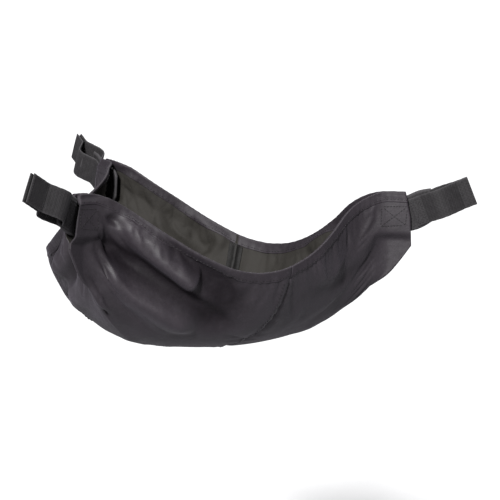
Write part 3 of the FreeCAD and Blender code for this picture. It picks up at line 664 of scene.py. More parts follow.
def fabric(name, base, dark, light, pitch, rough, sheen, weave, spec,
           sheen_tint=(0.8, 0.75, 0.85), fuzz=0.0, wear=0.0, from_object=False, ribs=False,
           twill=False, relief=False):
    """Woven cloth.

    base, dark, light: colours it drifts between; pitch: thread spacing in mm; weave: depth
    of the threads; fuzz: raised fibre; wear: pale raised edges; from_object: weave laid on
    object coordinates, not the UV map; relief: painted shade and highlight, the colour,
    specular and sheen following the "relief" attribute, darker in fold hollows, lighter on crests.
    """
    mat = bpy.data.materials.new(name)
    mat.use_nodes = True
    graph = Graph(mat.node_tree)
    mat.node_tree.nodes.clear()
    output = graph.add("ShaderNodeOutputMaterial")
    shader = graph.add("ShaderNodeBsdfPrincipled")
    graph.link(shader.outputs[0], output.inputs[0])
    coords = graph.add("ShaderNodeTexCoord")
    where = coords.outputs["Object"]
    height = weave_height(graph, coords, pitch, from_object, ribs, twill)

    # colour: drift, thread shadow, lint, wear
    drift = graph.noise(where, Scale=30.0, Detail=5.0, Roughness=0.62)
    mottle = graph.noise(where, Scale=270.0, Detail=4.0, Roughness=0.7)
    specks = graph.noise(where, Scale=2600.0, Detail=2.0)
    colour = graph.mix(graph.ramp(drift, (0.3, 0.0), (0.72, 1.0)), dark, base)
    colour = graph.mix(graph.times(graph.ramp(mottle, (0.45, 0.0), (0.78, 1.0)), 0.45),
                       colour, light)
    colour = graph.mix(graph.times(graph.invert(height), 0.55 * weave), colour,
                       tuple(v * 0.35 for v in dark))
    colour = graph.mix(graph.times(graph.ramp(specks, (0.69, 0.0), (0.76, 1.0)),
                                   0.12 + fuzz * 0.25),
                       colour, tuple(min(1.0, v * 3.0 + 0.01) for v in light))
    if wear:
        pointed = graph.add("ShaderNodeNewGeometry").outputs["Pointiness"]
        colour = graph.mix(graph.times(graph.ramp(pointed, (0.505, 0.0), (0.56, 1.0)), wear),
                           colour, tuple(min(1.0, v * 2.0 + 0.004) for v in light))
    if relief:      # painted shade in the folds' hollows, painted highlight on their crests
        attribute = graph.add("ShaderNodeAttribute")
        attribute.attribute_name = "relief"
        crest = attribute.outputs["Fac"]
        # painted shade and highlight: the base colour is darkened in fold hollows and lightened on
        # crests
        painted_fold_shade = graph.ramp(crest, (0.0, 0.46), (0.3, 0.70), (0.5, 0.88), (0.78, 1.02), (1.0, 1.06))
        painted_crest_gloss = graph.ramp(crest, (0.0, 0.26), (0.3, 0.55), (0.5, 0.8), (1.0, 0.88))
        painted_crest_sheen = graph.ramp(crest, (0.0, 0.0), (0.5, 0.7), (1.0, 1.0))
        colour = graph.mix(1.0, colour, painted_fold_shade, "MULTIPLY")
        # painted highlight: specular and sheen weaken in the hollows and strengthen on the crests
        spec, sheen = graph.times(painted_crest_gloss, spec * 1.25), graph.times(painted_crest_sheen, sheen * 1.2)
    graph.link(colour, shader.inputs["Base Color"])

    # finish
    roughness = graph.plus(rough - 0.06, graph.times(mottle, 0.16))
    roughness = graph.math("ADD", roughness, graph.times(graph.invert(height), 0.10), clamp=True)
    graph.link(roughness, shader.inputs["Roughness"])
    graph.feed(shader.inputs["Specular IOR Level"], spec)
    graph.feed(shader.inputs["Sheen Weight"], sheen)
    shader.inputs["Sheen Roughness"].default_value = 0.42
    shader.inputs["Sheen Tint"].default_value = (*sheen_tint, 1.0)

    # bump: threads over soft unevenness
    if fuzz:
        fibres = graph.noise(where, Scale=1500.0, Detail=6.0, Roughness=0.8)
        height = graph.plus(graph.times(height, 1 - fuzz), graph.times(fibres, fuzz * 2))
    bump = graph.add("ShaderNodeBump", Strength=min(1.0, 0.55 * weave + 0.15),
                     Distance=pitch * 0.35 * MM)
    graph.link(height, bump.inputs["Height"])
    soft = graph.add("ShaderNodeBump", Strength=0.5, Distance=0.0006)
    graph.link(graph.noise(where, Scale=190.0, Detail=4.0, Roughness=0.6), soft.inputs["Height"])
    graph.link(soft.outputs[0], bump.inputs["Normal"])
    graph.link(bump.outputs[0], shader.inputs["Normal"])
    return mat


def sand_material():
    mat = bpy.data.materials.new("dry_sand")
    mat.use_nodes = True
    graph = Graph(mat.node_tree)
    shader = mat.node_tree.nodes["Principled BSDF"]
    where = graph.add("ShaderNodeTexCoord").outputs["Object"]
    grains = graph.add("ShaderNodeTexVoronoi", Scale=1700.0)
    graph.link(where, grains.inputs["Vector"])
    drift = graph.noise(where, Scale=60.0, Detail=6.0)
    colour = graph.mix(graph.ramp(grains.outputs["Color"], (0.2, 0.0), (0.8, 1.0)),
                       (0.34, 0.25, 0.15), (0.66, 0.55, 0.40))
    graph.link(graph.mix(drift, colour, (0.48, 0.38, 0.26)), shader.inputs["Base Color"])
    shader.inputs["Roughness"].default_value = 0.85
    bump = graph.add("ShaderNodeBump", Strength=0.9, Distance=0.0006)
    graph.link(grains.outputs["Distance"], bump.inputs["Height"])
    graph.link(bump.outputs[0], shader.inputs["Normal"])
    return mat


VIOLET = (0.74, 0.66, 0.84)
# outer shell: painted shade in the fold hollows and painted highlight on the crests, from the relief
# attribute
OUTER = fabric(
    "nylon_outer", base=(0.0262, 0.0206, 0.0262), dark=(0.0176, 0.0138, 0.0176),
    light=(0.041, 0.0330, 0.0415), pitch=0.62, rough=0.52, sheen=0.05, sheen_tint=VIOLET,
    weave=0.45, spec=0.48, wear=0.08, relief=True)
INNER = fabric(
    "nylon_coated_inner", base=(0.0285, 0.0259, 0.0228), dark=(0.0200, 0.0181, 0.0157),
    light=(0.038, 0.035, 0.031), pitch=0.62, rough=0.70, sheen=0.0, weave=0.35, spec=0.24)
HEM_FOLD = fabric(
    "hem_fold", base=(0.0240, 0.0190, 0.0240), dark=(0.0165, 0.0130, 0.0165),
    light=(0.038, 0.0308, 0.0385), pitch=0.62, rough=0.55, sheen=0.04, sheen_tint=VIOLET,
    weave=0.5, spec=0.36, wear=0.12)
TAPE = fabric(
    "seam_tape_grosgrain", base=(0.0095, 0.0088, 0.0086), dark=(0.0062, 0.0058, 0.0056),
    light=(0.017, 0.016, 0.0155), pitch=0.9, rough=0.6, sheen=0.03, weave=0.9, ribs=True,
    wear=0.25, spec=0.25)
WEBBING = fabric(
    "strap_webbing", base=(0.0270, 0.0250, 0.0268), dark=(0.0170, 0.0158, 0.0168),
    light=(0.052, 0.049, 0.052), pitch=1.5, rough=0.66, sheen=0.04,
    sheen_tint=(0.8, 0.8, 0.85), weave=1.0, twill=True, fuzz=0.2, wear=0.3, spec=0.25)
HOOK = fabric(
    "hook_side", base=(0.0065, 0.0062, 0.0064), dark=(0.004, 0.004, 0.004),
    light=(0.017, 0.0165, 0.017), pitch=1.1, rough=0.45, sheen=0.0, weave=1.0, fuzz=0.2,
    spec=0.4)
LOOP = fabric(
    "loop_side", base=(0.007, 0.0067, 0.0067), dark=(0.0045, 0.0043, 0.0043),
    light=(0.019, 0.0185, 0.019), pitch=1.3, rough=0.9, sheen=0.12,
    sheen_tint=(0.7, 0.7, 0.72), weave=0.4, fuzz=0.9, spec=0.2)
THREAD = fabric(
    "sewing_thread", base=(0.017, 0.0145, 0.0165), dark=(0.010, 0.009, 0.010),
    light=(0.034, 0.030, 0.033), pitch=0.35, rough=0.45, sheen=0.05, weave=0.8,
    from_object=True, spec=0.4)
CANVAS = fabric(
    "pouch_canvas", base=(0.030, 0.031, 0.0285), dark=(0.0190, 0.0196, 0.0182),
    light=(0.050, 0.051, 0.047), pitch=1.0, rough=0.75, sheen=0.05, weave=1.0, fuzz=0.15,
    wear=0.25, spec=0.25)
SAND = sand_material()

# ------------------------------------------------------------------ sewing
BOX = ((0, 1), (1, 2), (2, 3), (3, 0))          # pairs of box corners joined by stitches
BOX_CROSS = BOX + ((0, 2), (1, 3))
# one stitch: place along it, share of the radius, lift in radii
STITCH = np.array([(0, .35, -.35), (.16, .9, .2), (.5, 1.0, .45), (.84, .9, .2), (1, .35, -.35)])


def thread_run(path, normal, pitch=3.2, length=2.3, radius=0.27, sink=0.08, start=0.5):
    """Stitches along a path: short rounded threads lying on the cloth."""
    stations = arc(path)
    verts, faces = [], []
    for k in range(int((stations[-1] - 2 * start) / pitch)):
        at = start + k * pitch + STITCH[:, 0] * length
        centre, ups = sample(path, stations, at), unit(sample(normal, stations, at))
        run = unit(centre[-1] - centre[0])
        faces += tube_faces(5, 6, len(verts))
        for middle, up, (_, share, lift) in zip(centre, ups, STITCH):
            side = np.cross(run, up)
            middle = middle + up * (lift * radius + radius * 0.6 - sink)
            for a in range(6):
                angle = a * math.pi / 3
                verts.append(middle + (side * math.cos(angle) + up * math.sin(angle) * 0.8)
                             * (radius * share))
    return verts, faces


def thread_object(name, runs):
    """One object from runs of (path, normals, stitch options)."""
    verts, faces = [], []
    for path, normal, options in runs:
        more, more_faces = thread_run(np.asarray(path), np.asarray(normal), **options)
        faces += [tuple(k + len(verts) for k in face) for face in more_faces]
        verts += more
    return solid(name, verts, faces, (THREAD,))


def box_lines(corners, pairs, count):
    """The lines of a stitched box, each as points in the box's two coordinates."""
    corners = np.array(corners, float)
    t = np.linspace(0, 1, count)[:, None]
    return [corners[a] + (corners[b] - corners[a]) * t for a, b in pairs]


# ------------------------------------------------------------------ gores and hems
BLEND_FROM, BLEND_TO = 138.0, 163.0             # reaches along the corner; to_corner works out points at them and does not use them
# distances from the rim across the hem, and how far the fold thins there
HEM_AT = np.array([0.0, 0.8, 1.8, 3.4, 5.2, 7.0, 8.0, HEM])
HEM_THIN = np.array([0, 0, 0, 0, 0, .04, .1, .32])[:, None]
HEM_GAP = 0.12
HEM_STITCH = [6.6]
ROLL_ANGLES = np.radians([60, 30, 0, -30, -60])[:, None]
hem_sheet, hem_normal = unweld(draped), unweld(draped_normal)


def to_corner(obj, azimuth):
    ends = [tuple(rotz([x, 0, TACK_Z], azimuth) * MM) for x in (BLEND_FROM, BLEND_TO)]
    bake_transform(obj)


def in_from_rim(g, side, distances, i):
    """Draped points and normals at distances from the rim on row i of half a gore."""
    turn = 1 if side == 0 else -1
    points = hem_sheet[g][i][::turn][:COLS + 1]
    normal = hem_normal[g][i][::turn][:COLS + 1]
    stations = arc(points)
    return sample(points, stations, distances), unit(sample(normal, stations, distances))


# fold height as 0 to 1, stored as the relief attribute; OUTER paints shade into the hollows and
# highlight onto the crests from it
relief_value = unweld(np.clip(0.5 + fold_height / 19.0, 0, 1))


def make_gore(g, name, azimuth):
    obj = shell(f"gore_{name}", outer[g], inner[g], (OUTER, INNER), sheet_uv)
    attribute = obj.data.attributes.new("relief", "FLOAT", "POINT")
    attribute.data.foreach_set("value", np.tile(relief_value[g].ravel(), 2).astype(np.float32))
    register(obj, replaces=[f"gore_panel_{name}"])
    to_corner(obj, azimuth)


def make_hem(g, side, name, azimuth, hem_name):
    """Hem wrapped round the rim: outer leg, rolled edge, inner leg. Returns its stitch runs."""
    near, far, uv = [], [], []
    out_path, out_normal, in_path, in_normal = [], [], [], []
    run = arc(outer[g][:, 0 if side == 0 else WIDE - 1])
    sin, cos = np.sin(ROLL_ANGLES), np.cos(ROLL_ANGLES)
    for i in range(ROWS + 1):
        points, normal = in_from_rim(g, side, HEM_AT, i)
        down = unit(points[1] - points[0])
        top = points[0] - normal[0] * THICK / 2
        thick = 0.55 + 0.10 * math.sin(i * 1.7)
        leg = thick * (1 - HEM_THIN)
        roll = THICK / 2 + HEM_GAP
        profile = np.concatenate([
            (points + normal * (HEM_GAP + leg))[::-1],
            top + normal[0] * sin * (roll + thick) - down * cos * (roll * .6 + thick),
            points - normal * (THICK + HEM_GAP + leg)])
        near.append(profile)
        far.append(np.concatenate([
            (points + normal * (HEM_GAP - 0.02))[::-1],
            top + normal[0] * sin * roll - down * cos * roll * .6,
            points - normal * (THICK + HEM_GAP - 0.02)]))
        uv.append([(run[i], v) for v in arc(profile)])
        point, normal = (row[0] for row in in_from_rim(g, side, HEM_STITCH, i))
        out_path.append(point + normal * (HEM_GAP + thick * .92))
        out_normal.append(normal)
        in_path.append(point - normal * (THICK + HEM_GAP + thick * .92))
        in_normal.append(-normal)
    obj = shell(f"hem_{hem_name}_{name}_part", np.array(near), np.array(far), (HEM_FOLD,),
                np.array(uv))
    register(obj, replaces=[f"rim_binding_{hem_name}"])
    to_corner(obj, azimuth)
    return [(out_path, out_normal, {}), (in_path, in_normal, {})]


def corner_box_runs(g, azimuth, sign):
    """A box with a cross sewn through one face of the folded corner."""
    points = rotz(outer[g].reshape(-1, 3), -azimuth)
    normals = rotz(outer_normal[g].reshape(-1, 3), -azimuth)
    face = (points[:, 0] > 148) & (points[:, 1] * sign > 0)
    points, normals = points[face], normals[face]

    def on_face(x, z):
        square = (points[:, 0] - x) ** 2 + (points[:, 2] - z) ** 2
        k = np.argsort(square)[:6]
        weight = 1 / (0.2 + square[k])
        y = (points[k, 1] * weight).sum() / weight.sum()
        return np.array([x, y, z]), unit((normals[k] * weight[:, None]).sum(0))

    box = [(160, TACK_Z - 9), (181, TACK_Z - 7), (182, TACK_Z + 9), (160, TACK_Z + 8)]  # x, z
    runs = []
    for line in box_lines(box, BOX_CROSS, 14):
        path, normal = (np.array(part) for part in zip(*[on_face(x, z) for x, z in line]))
        runs.append((rotz(path + normal * 0.1, azimuth), rotz(normal, azimuth),
                     dict(pitch=2.6, length=2.0, radius=0.3)))
    return runs


for g, (name, azimuth, hems, _) in enumerate(CORNERS):
    make_gore(g, name, azimuth)
    runs = make_hem(g, 0, name, azimuth, hems[0]) + make_hem(g, 1, name, azimuth, hems[1])
    runs += corner_box_runs(g, azimuth, 1) + corner_box_runs(g, azimuth, -1)
    threads = thread_object(f"stitches_{name}_gore", runs)
    register(threads)
    to_corner(threads, azimuth)

# ------------------------------------------------------------------ felled seams
SEAM_ROWS = (2.4, 7.4)              # stitch rows from the seam
TAPE_AT = (-7.0, -6.6, -5, -3, -1.2, 0, 1.2, 3, 5, 6.6, 7.0)    # stations across the tape
TAPE_RIDGE = 3.2                    # half width of the tape's ridge over the seam


def column(grid, j):
    """A gore grid's column, also between whole columns, from the seam towards the corner."""
    k = min(int(j), grid.shape[1] - 2)
    return (grid[:, k] * (1 - (j - k)) + grid[:, k + 1] * (j - k))[::-1]


def seam_stitches(g, seam_name):
    """Two rows of stitching down the lap."""
    runs = []
    for distance in SEAM_ROWS:
        path, normals = [], []
        for j in range(2, COLS - 1):
            line = outer[g][::-1, j]
            stations = arc(line)
            point = sample(line, stations, distance)
            if math.hypot(point[0], point[1]) < 25.5:       # reaches the base patch
                break
            normal = unit(sample(outer_normal[g][::-1, j], stations, distance))
            path.append(point + normal * 0.05)
            normals.append(normal)
        path, normals = np.array(path), np.array(normals)
        keep = arc(path) > 7.5
        runs.append((path[keep], normals[keep], {}))
    register(thread_object(f"stitches_seam_{seam_name}", runs), "sling")


def inside_tape(g, seam_name):
    """Tape over the seam on the bowl's inner face."""
    near, far, uv = [], [], []
    other = (g + 1) % 3
    hem_end = float(np.interp(HEM + 0.12, across[ROWS, :COLS] - across[ROWS, 0], np.arange(COLS)))
    for j in [hem_end] + list(range(math.ceil(hem_end + 0.2), COLS)):
        here = column(inner[g], j), column(outer_normal[g], j)
        there = (column(inner[other], WIDE - 1 - j), column(outer_normal[other], WIDE - 1 - j))
        start = here[0][0]
        if math.hypot(start[0], start[1]) < 31:
            break
        near_row, far_row, uv_row = [], [], []
        for x in TAPE_AT:
            line, normals = here if x >= 0 else there
            stations = arc(line)
            point = sample(line, stations, abs(x))
            normal = unit(sample(normals, stations, abs(x)))
            lift = 0.35 + 1.3 * max(0.0, 1 - abs(x) / TAPE_RIDGE)
            thick = 0.75 if abs(x) < 6.8 else 0.45
            near_row.append(point - normal * (lift + thick))
            far_row.append(point - normal * lift)
            uv_row.append((x, np.linalg.norm(point - start) + j * 1.9))
        near.append(near_row)
        far.append(far_row)
        uv.append(uv_row)
    obj = shell(f"inside_tape_{seam_name}", np.array(near), np.array(far), (TAPE,), np.array(uv))
    register(obj, "sling", [f"seam_tape_{seam_name}"])


for g, (_, _, hems, _) in enumerate(CORNERS):
    seam_stitches(g, hems[0])
    inside_tape(g, hems[0])

# ------------------------------------------------------------------ straps and tabs
# Strap frame: u outwards and up along the strap, v across the corner plane, w over the
# strap's width. Its origin is the centre of the eye the two strap halves form.
EYE_X, EYE_RADIUS = 211.0, 10.5
LEAN = math.radians(24.0)
STRAP_O = np.array([EYE_X, 0, STRAP_Z])
STRAP_U = np.array([math.cos(LEAN), 0, math.sin(LEAN)])
STRAP_V = np.array([0.0, 1.0, 0.0])
STRAP_W = np.array([-math.sin(LEAN), 0, math.cos(LEAN)])
STRAP_LAYER = 1.6                   # strap thickness allowed for in its centre line
ROOT_V, END_V = 1.65, 1.15          # inner face of a strap at its root and at its end
# half of a webbing cross-section: share of half width, share of half thickness
WEB_HALF = ((0, 1), (.2, .98), (.45, 1), (.7, .96), (.9, .98), (.95, .85), (.985, .55), (1, 0))
WEB_TOP = [(-x, h) for x, h in reversed(WEB_HALF[1:])] + list(WEB_HALF)
WEB_RING = WEB_TOP + [(x, -h) for x, h in reversed(WEB_TOP[1:-1])]
# tab outline, local x, y, z: upper and lower edge from the strap inwards
TAB_TOP = [(201.0, 0, 143.2), (190, 0, 140.5), (178, 0, 134.8), (165, 0, 132.8),
           (157, 0, 130.6), (152.6, 0, 125.5)]
TAB_BOTTOM = [(206.4, 0, 117.0), (194, 0, 108.5), (180, 0, 104.4), (168, 0, 102.6),
              (158.5, 0, 101.8), (152.6, 0, 108.0)]


def strap_pt(azimuth, u, v, w):
    u, v, w = np.broadcast_arrays(np.asarray(u, float), np.asarray(v, float),
                                  np.asarray(w, float))
    return rotz(STRAP_O + u[..., None] * STRAP_U + v[..., None] * STRAP_V
                + w[..., None] * STRAP_W, azimuth)


def tangent_angle(u, v):
    """Angle where a line from (u, v) touches the eye, on its outer side."""
    spread = math.acos(EYE_RADIUS / math.hypot(u, v))
    return math.atan2(v, u) + (-spread if u < 0 else spread)


def strap_line(side, reach):
    """Centre line u, v of one strap half, from its sewn root round the eye to its flat end."""
    middle = EYE_RADIUS + STRAP_LAYER / 2
    root, end = ROOT_V + STRAP_LAYER / 2, END_V + STRAP_LAYER / 2
    angles = np.linspace(tangent_angle(-15.0, ROOT_V), tangent_angle(16.5, END_V), 14)
    points = [(-26.4, root), (-20, root), (-15.6, root)]
    points += [(middle * math.cos(a), middle * math.sin(a)) for a in angles]
    points += [(17.2, end), (reach - 5, end), (reach - 0.1, end)]
    line = poly(np.array(points), np.linspace(0, 1, 220))
    kernel = np.exp(-np.linspace(-2, 2, 9) ** 2)
    kernel /= kernel.sum()
    padded = np.concatenate([np.repeat(line[:1], 4, 0), line, np.repeat(line[-1:], 4, 0)])
    line = np.stack([np.convolve(padded[:, k], kernel, "valid") for k in range(2)], -1)
    line[:, 1] *= side
    return line


def ribbon(name, centre, normal, across_dir, width, curl, wave):
    """A webbing strip: rounded selvages, thinner cut ends, a little curl across."""
    stations = arc(centre)
    verts, uv = [], []
    for i, at in enumerate(stations):
        end = min(1.0, 0.45 + 0.55 * min(at / 0.8, (stations[-1] - at) / 0.8))
        for x, h in WEB_RING:
            spread = 1 + 0.006 * math.sin(at * 0.9 + x)
            off = curl * x * x + wave * math.sin(at * 0.21 + 2.2 * x)
            verts.append(centre[i] + across_dir * x * width / 2 * spread
                         + normal[i] * (h * WEB_THICK / 2 * end + off))
            uv.append((x * width / 2, at))
    return solid(name, verts, tube_faces(len(centre), len(WEB_RING)), (WEBBING,),
                 uv=np.array(uv))


def strap_box_runs(azimuth, box, pairs, v, side):
    """Stitch runs on a strap face; the box's corners are u, w."""
    normal = np.repeat([rotz(side * STRAP_V, azimuth)], 12, 0)
    return [(strap_pt(azimuth, line[:, 0], v, line[:, 1]), normal,
             dict(pitch=2.4, length=1.8, radius=0.24, sink=0.05))
            for line in box_lines(box, pairs, 12)]


def make_strap(name, azimuth, kind, side, reach):
    line = strap_line(side, reach)
    tangent = unit(np.gradient(line, axis=0))
    normal = np.stack([-tangent[:, 1], tangent[:, 0]], -1) * side
    obj = ribbon(f"strap_{name}_{kind}", strap_pt(azimuth, line[:, 0], line[:, 1], 0),
                 rotz(normal[:, :1] * STRAP_U + normal[:, 1:] * STRAP_V, azimuth),
                 rotz(STRAP_W, azimuth), width=24.9, curl=-0.12, wave=0.05)
    register(obj, replaces=[f"strap_web_{name}_{kind}", f"strap_anchor_{name}"])
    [tuple(strap_pt(azimuth, u, 0, 0) * MM) for u in (-17.0, -13.6)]
    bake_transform(obj)


def make_pile_strip(name, azimuth, kind, side, reach, seed):
    """Hook or loop strip with a rough pile on the strap end's inner face."""
    u_at = np.linspace(17.6, reach - 0.9, int((reach - 18) * 2))
    w_at = np.linspace(-11.4, 11.4, 40)
    u, w = np.meshgrid(u_at, w_at, indexing="ij")
    border = np.minimum(np.minimum(u - u_at[0], u_at[-1] - u),
                        np.minimum(w - w_at[0], w_at[-1] - w))
    edge = ease(border / 1.1)
    pile = np.random.default_rng(seed).uniform(-1, 1, u.shape) * (0.10 if kind == "loop" else 0.07)
    near = 0.16 + (1 - edge) * 0.35 + np.abs(pile) * edge
    far = 1.02 - (1 - edge) * 0.2
    obj = shell(f"{kind}_strip_{name}", strap_pt(azimuth, u, side * near, w),
                strap_pt(azimuth, u, side * far, w), (LOOP if kind == "loop" else HOOK,),
                np.stack([u, w], -1))
    register(obj, f"{name}_{kind}_strap", [f"{kind}_tape_{name}"])
    box = [(18.6, -10.4), (reach - 2, -10.4), (reach - 2, 10.4), (18.6, 10.4)]
    threads = thread_object(f"stitches_{name}_{kind}_end",
                            strap_box_runs(azimuth, box, BOX, side * 2.66, side))
    register(threads, f"{name}_{kind}_strap", [f"{kind}_stitch_{name}"])


def root_stitches(name, azimuth):
    """Box and cross on both outer faces of the sewn root."""
    box = [(-25.2, -10.2), (-17.2, -10.2), (-17.2, 10.2), (-25.2, 10.2)]
    runs = []
    for side in (1, -1):
        runs += strap_box_runs(azimuth, box, BOX + ((0, 2), (3, 1)), side * 3.2, side)
    register(thread_object(f"stitches_{name}_root", runs), f"{name}_corner",
             [f"box_stitch_{name}"])


def make_tab(name, azimuth):
    """Tab between the straps: doubled webbing with soft edges."""
    i, j = np.meshgrid(np.linspace(0, 1, 40), np.linspace(0, 1, 26), indexing="ij")
    top, bottom = even(TAB_TOP, i[:, 0]), even(TAB_BOTTOM, i[:, 0])
    middle = bottom[:, None] * (1 - j[..., None]) + top[:, None] * j[..., None]
    border = np.minimum(np.minimum(i, 1 - i) * 48, np.minimum(j, 1 - j) * 27)
    half = 1.38 * np.sqrt(np.clip(1 - (1 - np.clip(border / 1.5, 0, 1)) ** 2, 0.02, 1)) \
        + 0.05 * np.sin(j * 60)
    near, far = middle.copy(), middle.copy()
    near[..., 1], far[..., 1] = half, -half
    obj = shell(f"tab_{name}", rotz(near, azimuth), rotz(far, azimuth), (WEBBING,),
                np.stack([middle[..., 2], middle[..., 0]], -1))
    register(obj, f"{name}_corner", [f"corner_tab_{name}"])


def make_bar_tack(name, azimuth):
    """Three strands twisted through the folded tip."""
    verts, faces = [], []
    for strand in range(3):
        faces += tube_faces(26, 8, len(verts))
        for i, y in enumerate(np.linspace(-4.35, 4.35, 26)):
            twist = y * 1.1 + strand * 2 * math.pi / 3
            x, z = TACK_X + 0.55 * math.cos(twist), TACK_Z + 0.55 * math.sin(twist)
            thick = 0.5 if 0 < i < 25 else 0.25
            for k in range(8):
                angle = k * math.pi / 4
                verts.append((x + math.cos(angle) * thick, y, z + math.sin(angle) * thick))
    obj = solid(f"bar_tack_{name}", rotz(verts, azimuth), faces, (THREAD,))
    register(obj, "sling", [f"corner_tack_{name}"])


for g, (name, azimuth, _, reach) in enumerate(CORNERS):
    for kind, side in (("loop", 1), ("hook", -1)):
        make_strap(name, azimuth, kind, side, reach)
        make_pile_strip(name, azimuth, kind, side, reach, seed=11 + g * 2 + (side > 0))
    root_stitches(name, azimuth)
    make_tab(name, azimuth)
    make_bar_tack(name, azimuth)

# ------------------------------------------------------------------ base patches
PATCH_RADIUS = 23.6
PATCH_GAP, PATCH_THICK = 0.12, 1.35             # of the patch under the bowl
AROUND = 72


def sheet_tree(grids):
    faces = [face for g in range(3) for face in grid_faces(ROWS + 1, WIDE, g * GRID)]
    return BVHTree.FromPolygons([tuple(p) for p in grids.reshape(-1, 3)], faces)


def height_at(tree, x, y, below):
    """Height of the sheet seen from below or above; 2 mm where a ray slips through."""
    start, way = (-40, 1) if below else (60, -1)
    hit = tree.ray_cast(Vector((x, y, start)), Vector((0, 0, way)))[0]
    return hit.z if hit is not None else 2.0


def disc(name, tree, below, gap, thick, mat):
    """A round patch lying on the sheet; returns it and its far face."""
    radii = np.r_[0.01, np.linspace(1.5, PATCH_RADIUS - 1.6, 14), PATCH_RADIUS - .9,
                  PATCH_RADIUS - .3, PATCH_RADIUS]
    way = -1 if below else 1
    near, far = np.zeros((2, len(radii), AROUND, 3))
    for i, r in enumerate(radii):
        edge = max(0.0, (r - (PATCH_RADIUS - 1.0)) / 1.0)
        for j, t in enumerate(np.linspace(0, 2 * math.pi, AROUND, endpoint=False)):
            wobble = 1 + 0.006 * math.sin(5 * t + 1) * (r / PATCH_RADIUS)
            x, y = r * math.cos(t) * wobble, r * math.sin(t) * wobble
            z = height_at(tree, x, y, below)
            near[i, j] = (x, y, z + way * gap)
            far[i, j] = (x, y, z + way * (gap + thick * (1 - 0.55 * edge * edge)))
    size = len(radii) * AROUND
    verts = np.concatenate([near.reshape(-1, 3), far.reshape(-1, 3)])
    faces = grid_faces(len(radii), AROUND, close_cols=True)
    faces += grid_faces(len(radii), AROUND, size, close_cols=True, turn=True)
    last = size - AROUND
    for j in range(AROUND):
        a, b = last + j, last + (j + 1) % AROUND
        faces.append((a, b, b + size, a + size))
    faces += [tuple(range(AROUND - 1, -1, -1)), tuple(range(size, size + AROUND))]
    return solid(name, verts, faces, (mat,), uv=verts[:, :2]), far


def patch_stitches(tree, far):
    """A ring and three diameters on the outer patch."""
    ring = np.concatenate([far[-5], far[-5][:1]])
    runs = [(ring, np.repeat([[0, 0, -1.0]], len(ring), 0), dict(start=0.1))]
    for degrees in (30, 90, 150):
        cos, sin = math.cos(math.radians(degrees)), math.sin(math.radians(degrees))
        path = [(cos * t, sin * t, height_at(tree, cos * t, sin * t, True)
                 - PATCH_GAP - PATCH_THICK) for t in np.linspace(-19.5, 19.5, 30)]
        runs.append((path, np.repeat([[0, 0, -1.0]], 30, 0), {}))
    register(thread_object("stitches_base_patch", runs), "sling")


outer_tree = sheet_tree(outer)
patch, patch_far = disc("patch_outer", outer_tree, True, PATCH_GAP, PATCH_THICK, OUTER)
register(patch, "sling", ["base_patch_outer"])
patch_stitches(outer_tree, patch_far)
patch, _ = disc("patch_inner", sheet_tree(inner), False, gap=0.15, thick=1.2, mat=TAPE)
register(patch, "sling", ["base_patch_inner"])

# ------------------------------------------------------------------ sand pouch
FLOOR = 7.4
POUCH_RADIUS = 78.0
SPOKES = 168
ANGLES = np.linspace(0, 2 * math.pi, SPOKES, endpoint=False)


def pouch_profile(points, count):
    """Even stations on a profile of radius and height above the pouch floor."""
    return even([(r, 0, FLOOR + z) for r, z in points], np.linspace(0, 1, count))


POUCH_TOP = pouch_profile([(POUCH_RADIUS, 18.0), (74.5, 23.2), (66, 28.2), (54, 31.6),
                           (30, 33.3), (0.01, 33.8)], 60)
POUCH_BOTTOM = pouch_profile([(POUCH_RADIUS, 17.2), (72.0, 11.2), (54, 4.6), (30, 0.9),
                              (0.01, 0.5)], 50)
SAND_PROFILE = pouch_profile([(0.01, 32.3), (30, 31.8), (57.5, 29.7), (73.3, 22.0),
                              (78.1, 17.5), (70.3, 12.2), (53.2, 5.5), (30, 2.0),
                              (0.01, 1.6)], 70)


def crown(x):
    return float(np.interp(abs(x), POUCH_TOP[::-1, 0], POUCH_TOP[::-1, 2]))


def pouch_point(profile, i, t, top):
    """Profile point with lumps and with puckers along the edge seam."""
    r, _, z = profile[i]
    x, y = r * math.cos(t), r * math.sin(t)
    seam = math.exp(-((POUCH_RADIUS - r) / 9.0) ** 2)
    lump = noise.fractal(Vector((x * .035, y * .035, 3.1 if top else 8.2)), 0.8, 2.1, 3)
    pucker = math.cos(26 * t + 2.2 * math.sin(3 * t)) + 0.5 * math.cos(41 * t + 1.3)
    pucker = seam * (0.5 + 0.5 * pucker) * min(1, (POUCH_RADIUS - r) / 3.0)
    if top:
        under_grab = 0.12 if abs(y) < 15 and abs(x) < 50 else 1.0
        z += (1.5 * lump - 0.35) * under_grab * (1 - seam * 0.6) - 0.85 * pucker
    else:
        z += 0.5 * abs(lump) + 0.5 * pucker
    return (x, y, z)


def make_pouch():
    top_rows, bottom_rows = len(POUCH_TOP), len(POUCH_BOTTOM)
    verts = np.array([pouch_point(profile, i, t, top)
                      for profile, top in ((POUCH_TOP, True), (POUCH_BOTTOM, False))
                      for i in range(len(profile)) for t in ANGLES])
    half = top_rows * SPOKES
    faces = grid_faces(top_rows, SPOKES, close_cols=True)
    faces += grid_faces(bottom_rows, SPOKES, half, close_cols=True, turn=True)
    for j in range(SPOKES):
        k = (j + 1) % SPOKES
        faces.append((j, k, half + k, half + j))
    end = half + bottom_rows * SPOKES
    faces += [tuple(range(half - SPOKES, half)), tuple(range(end - 1, end - SPOKES - 1, -1))]
    obj = solid("pouch", verts, faces, (CANVAS,), uv=verts[:, :2])
    register(obj, "ballast", ["sand_pouch"])


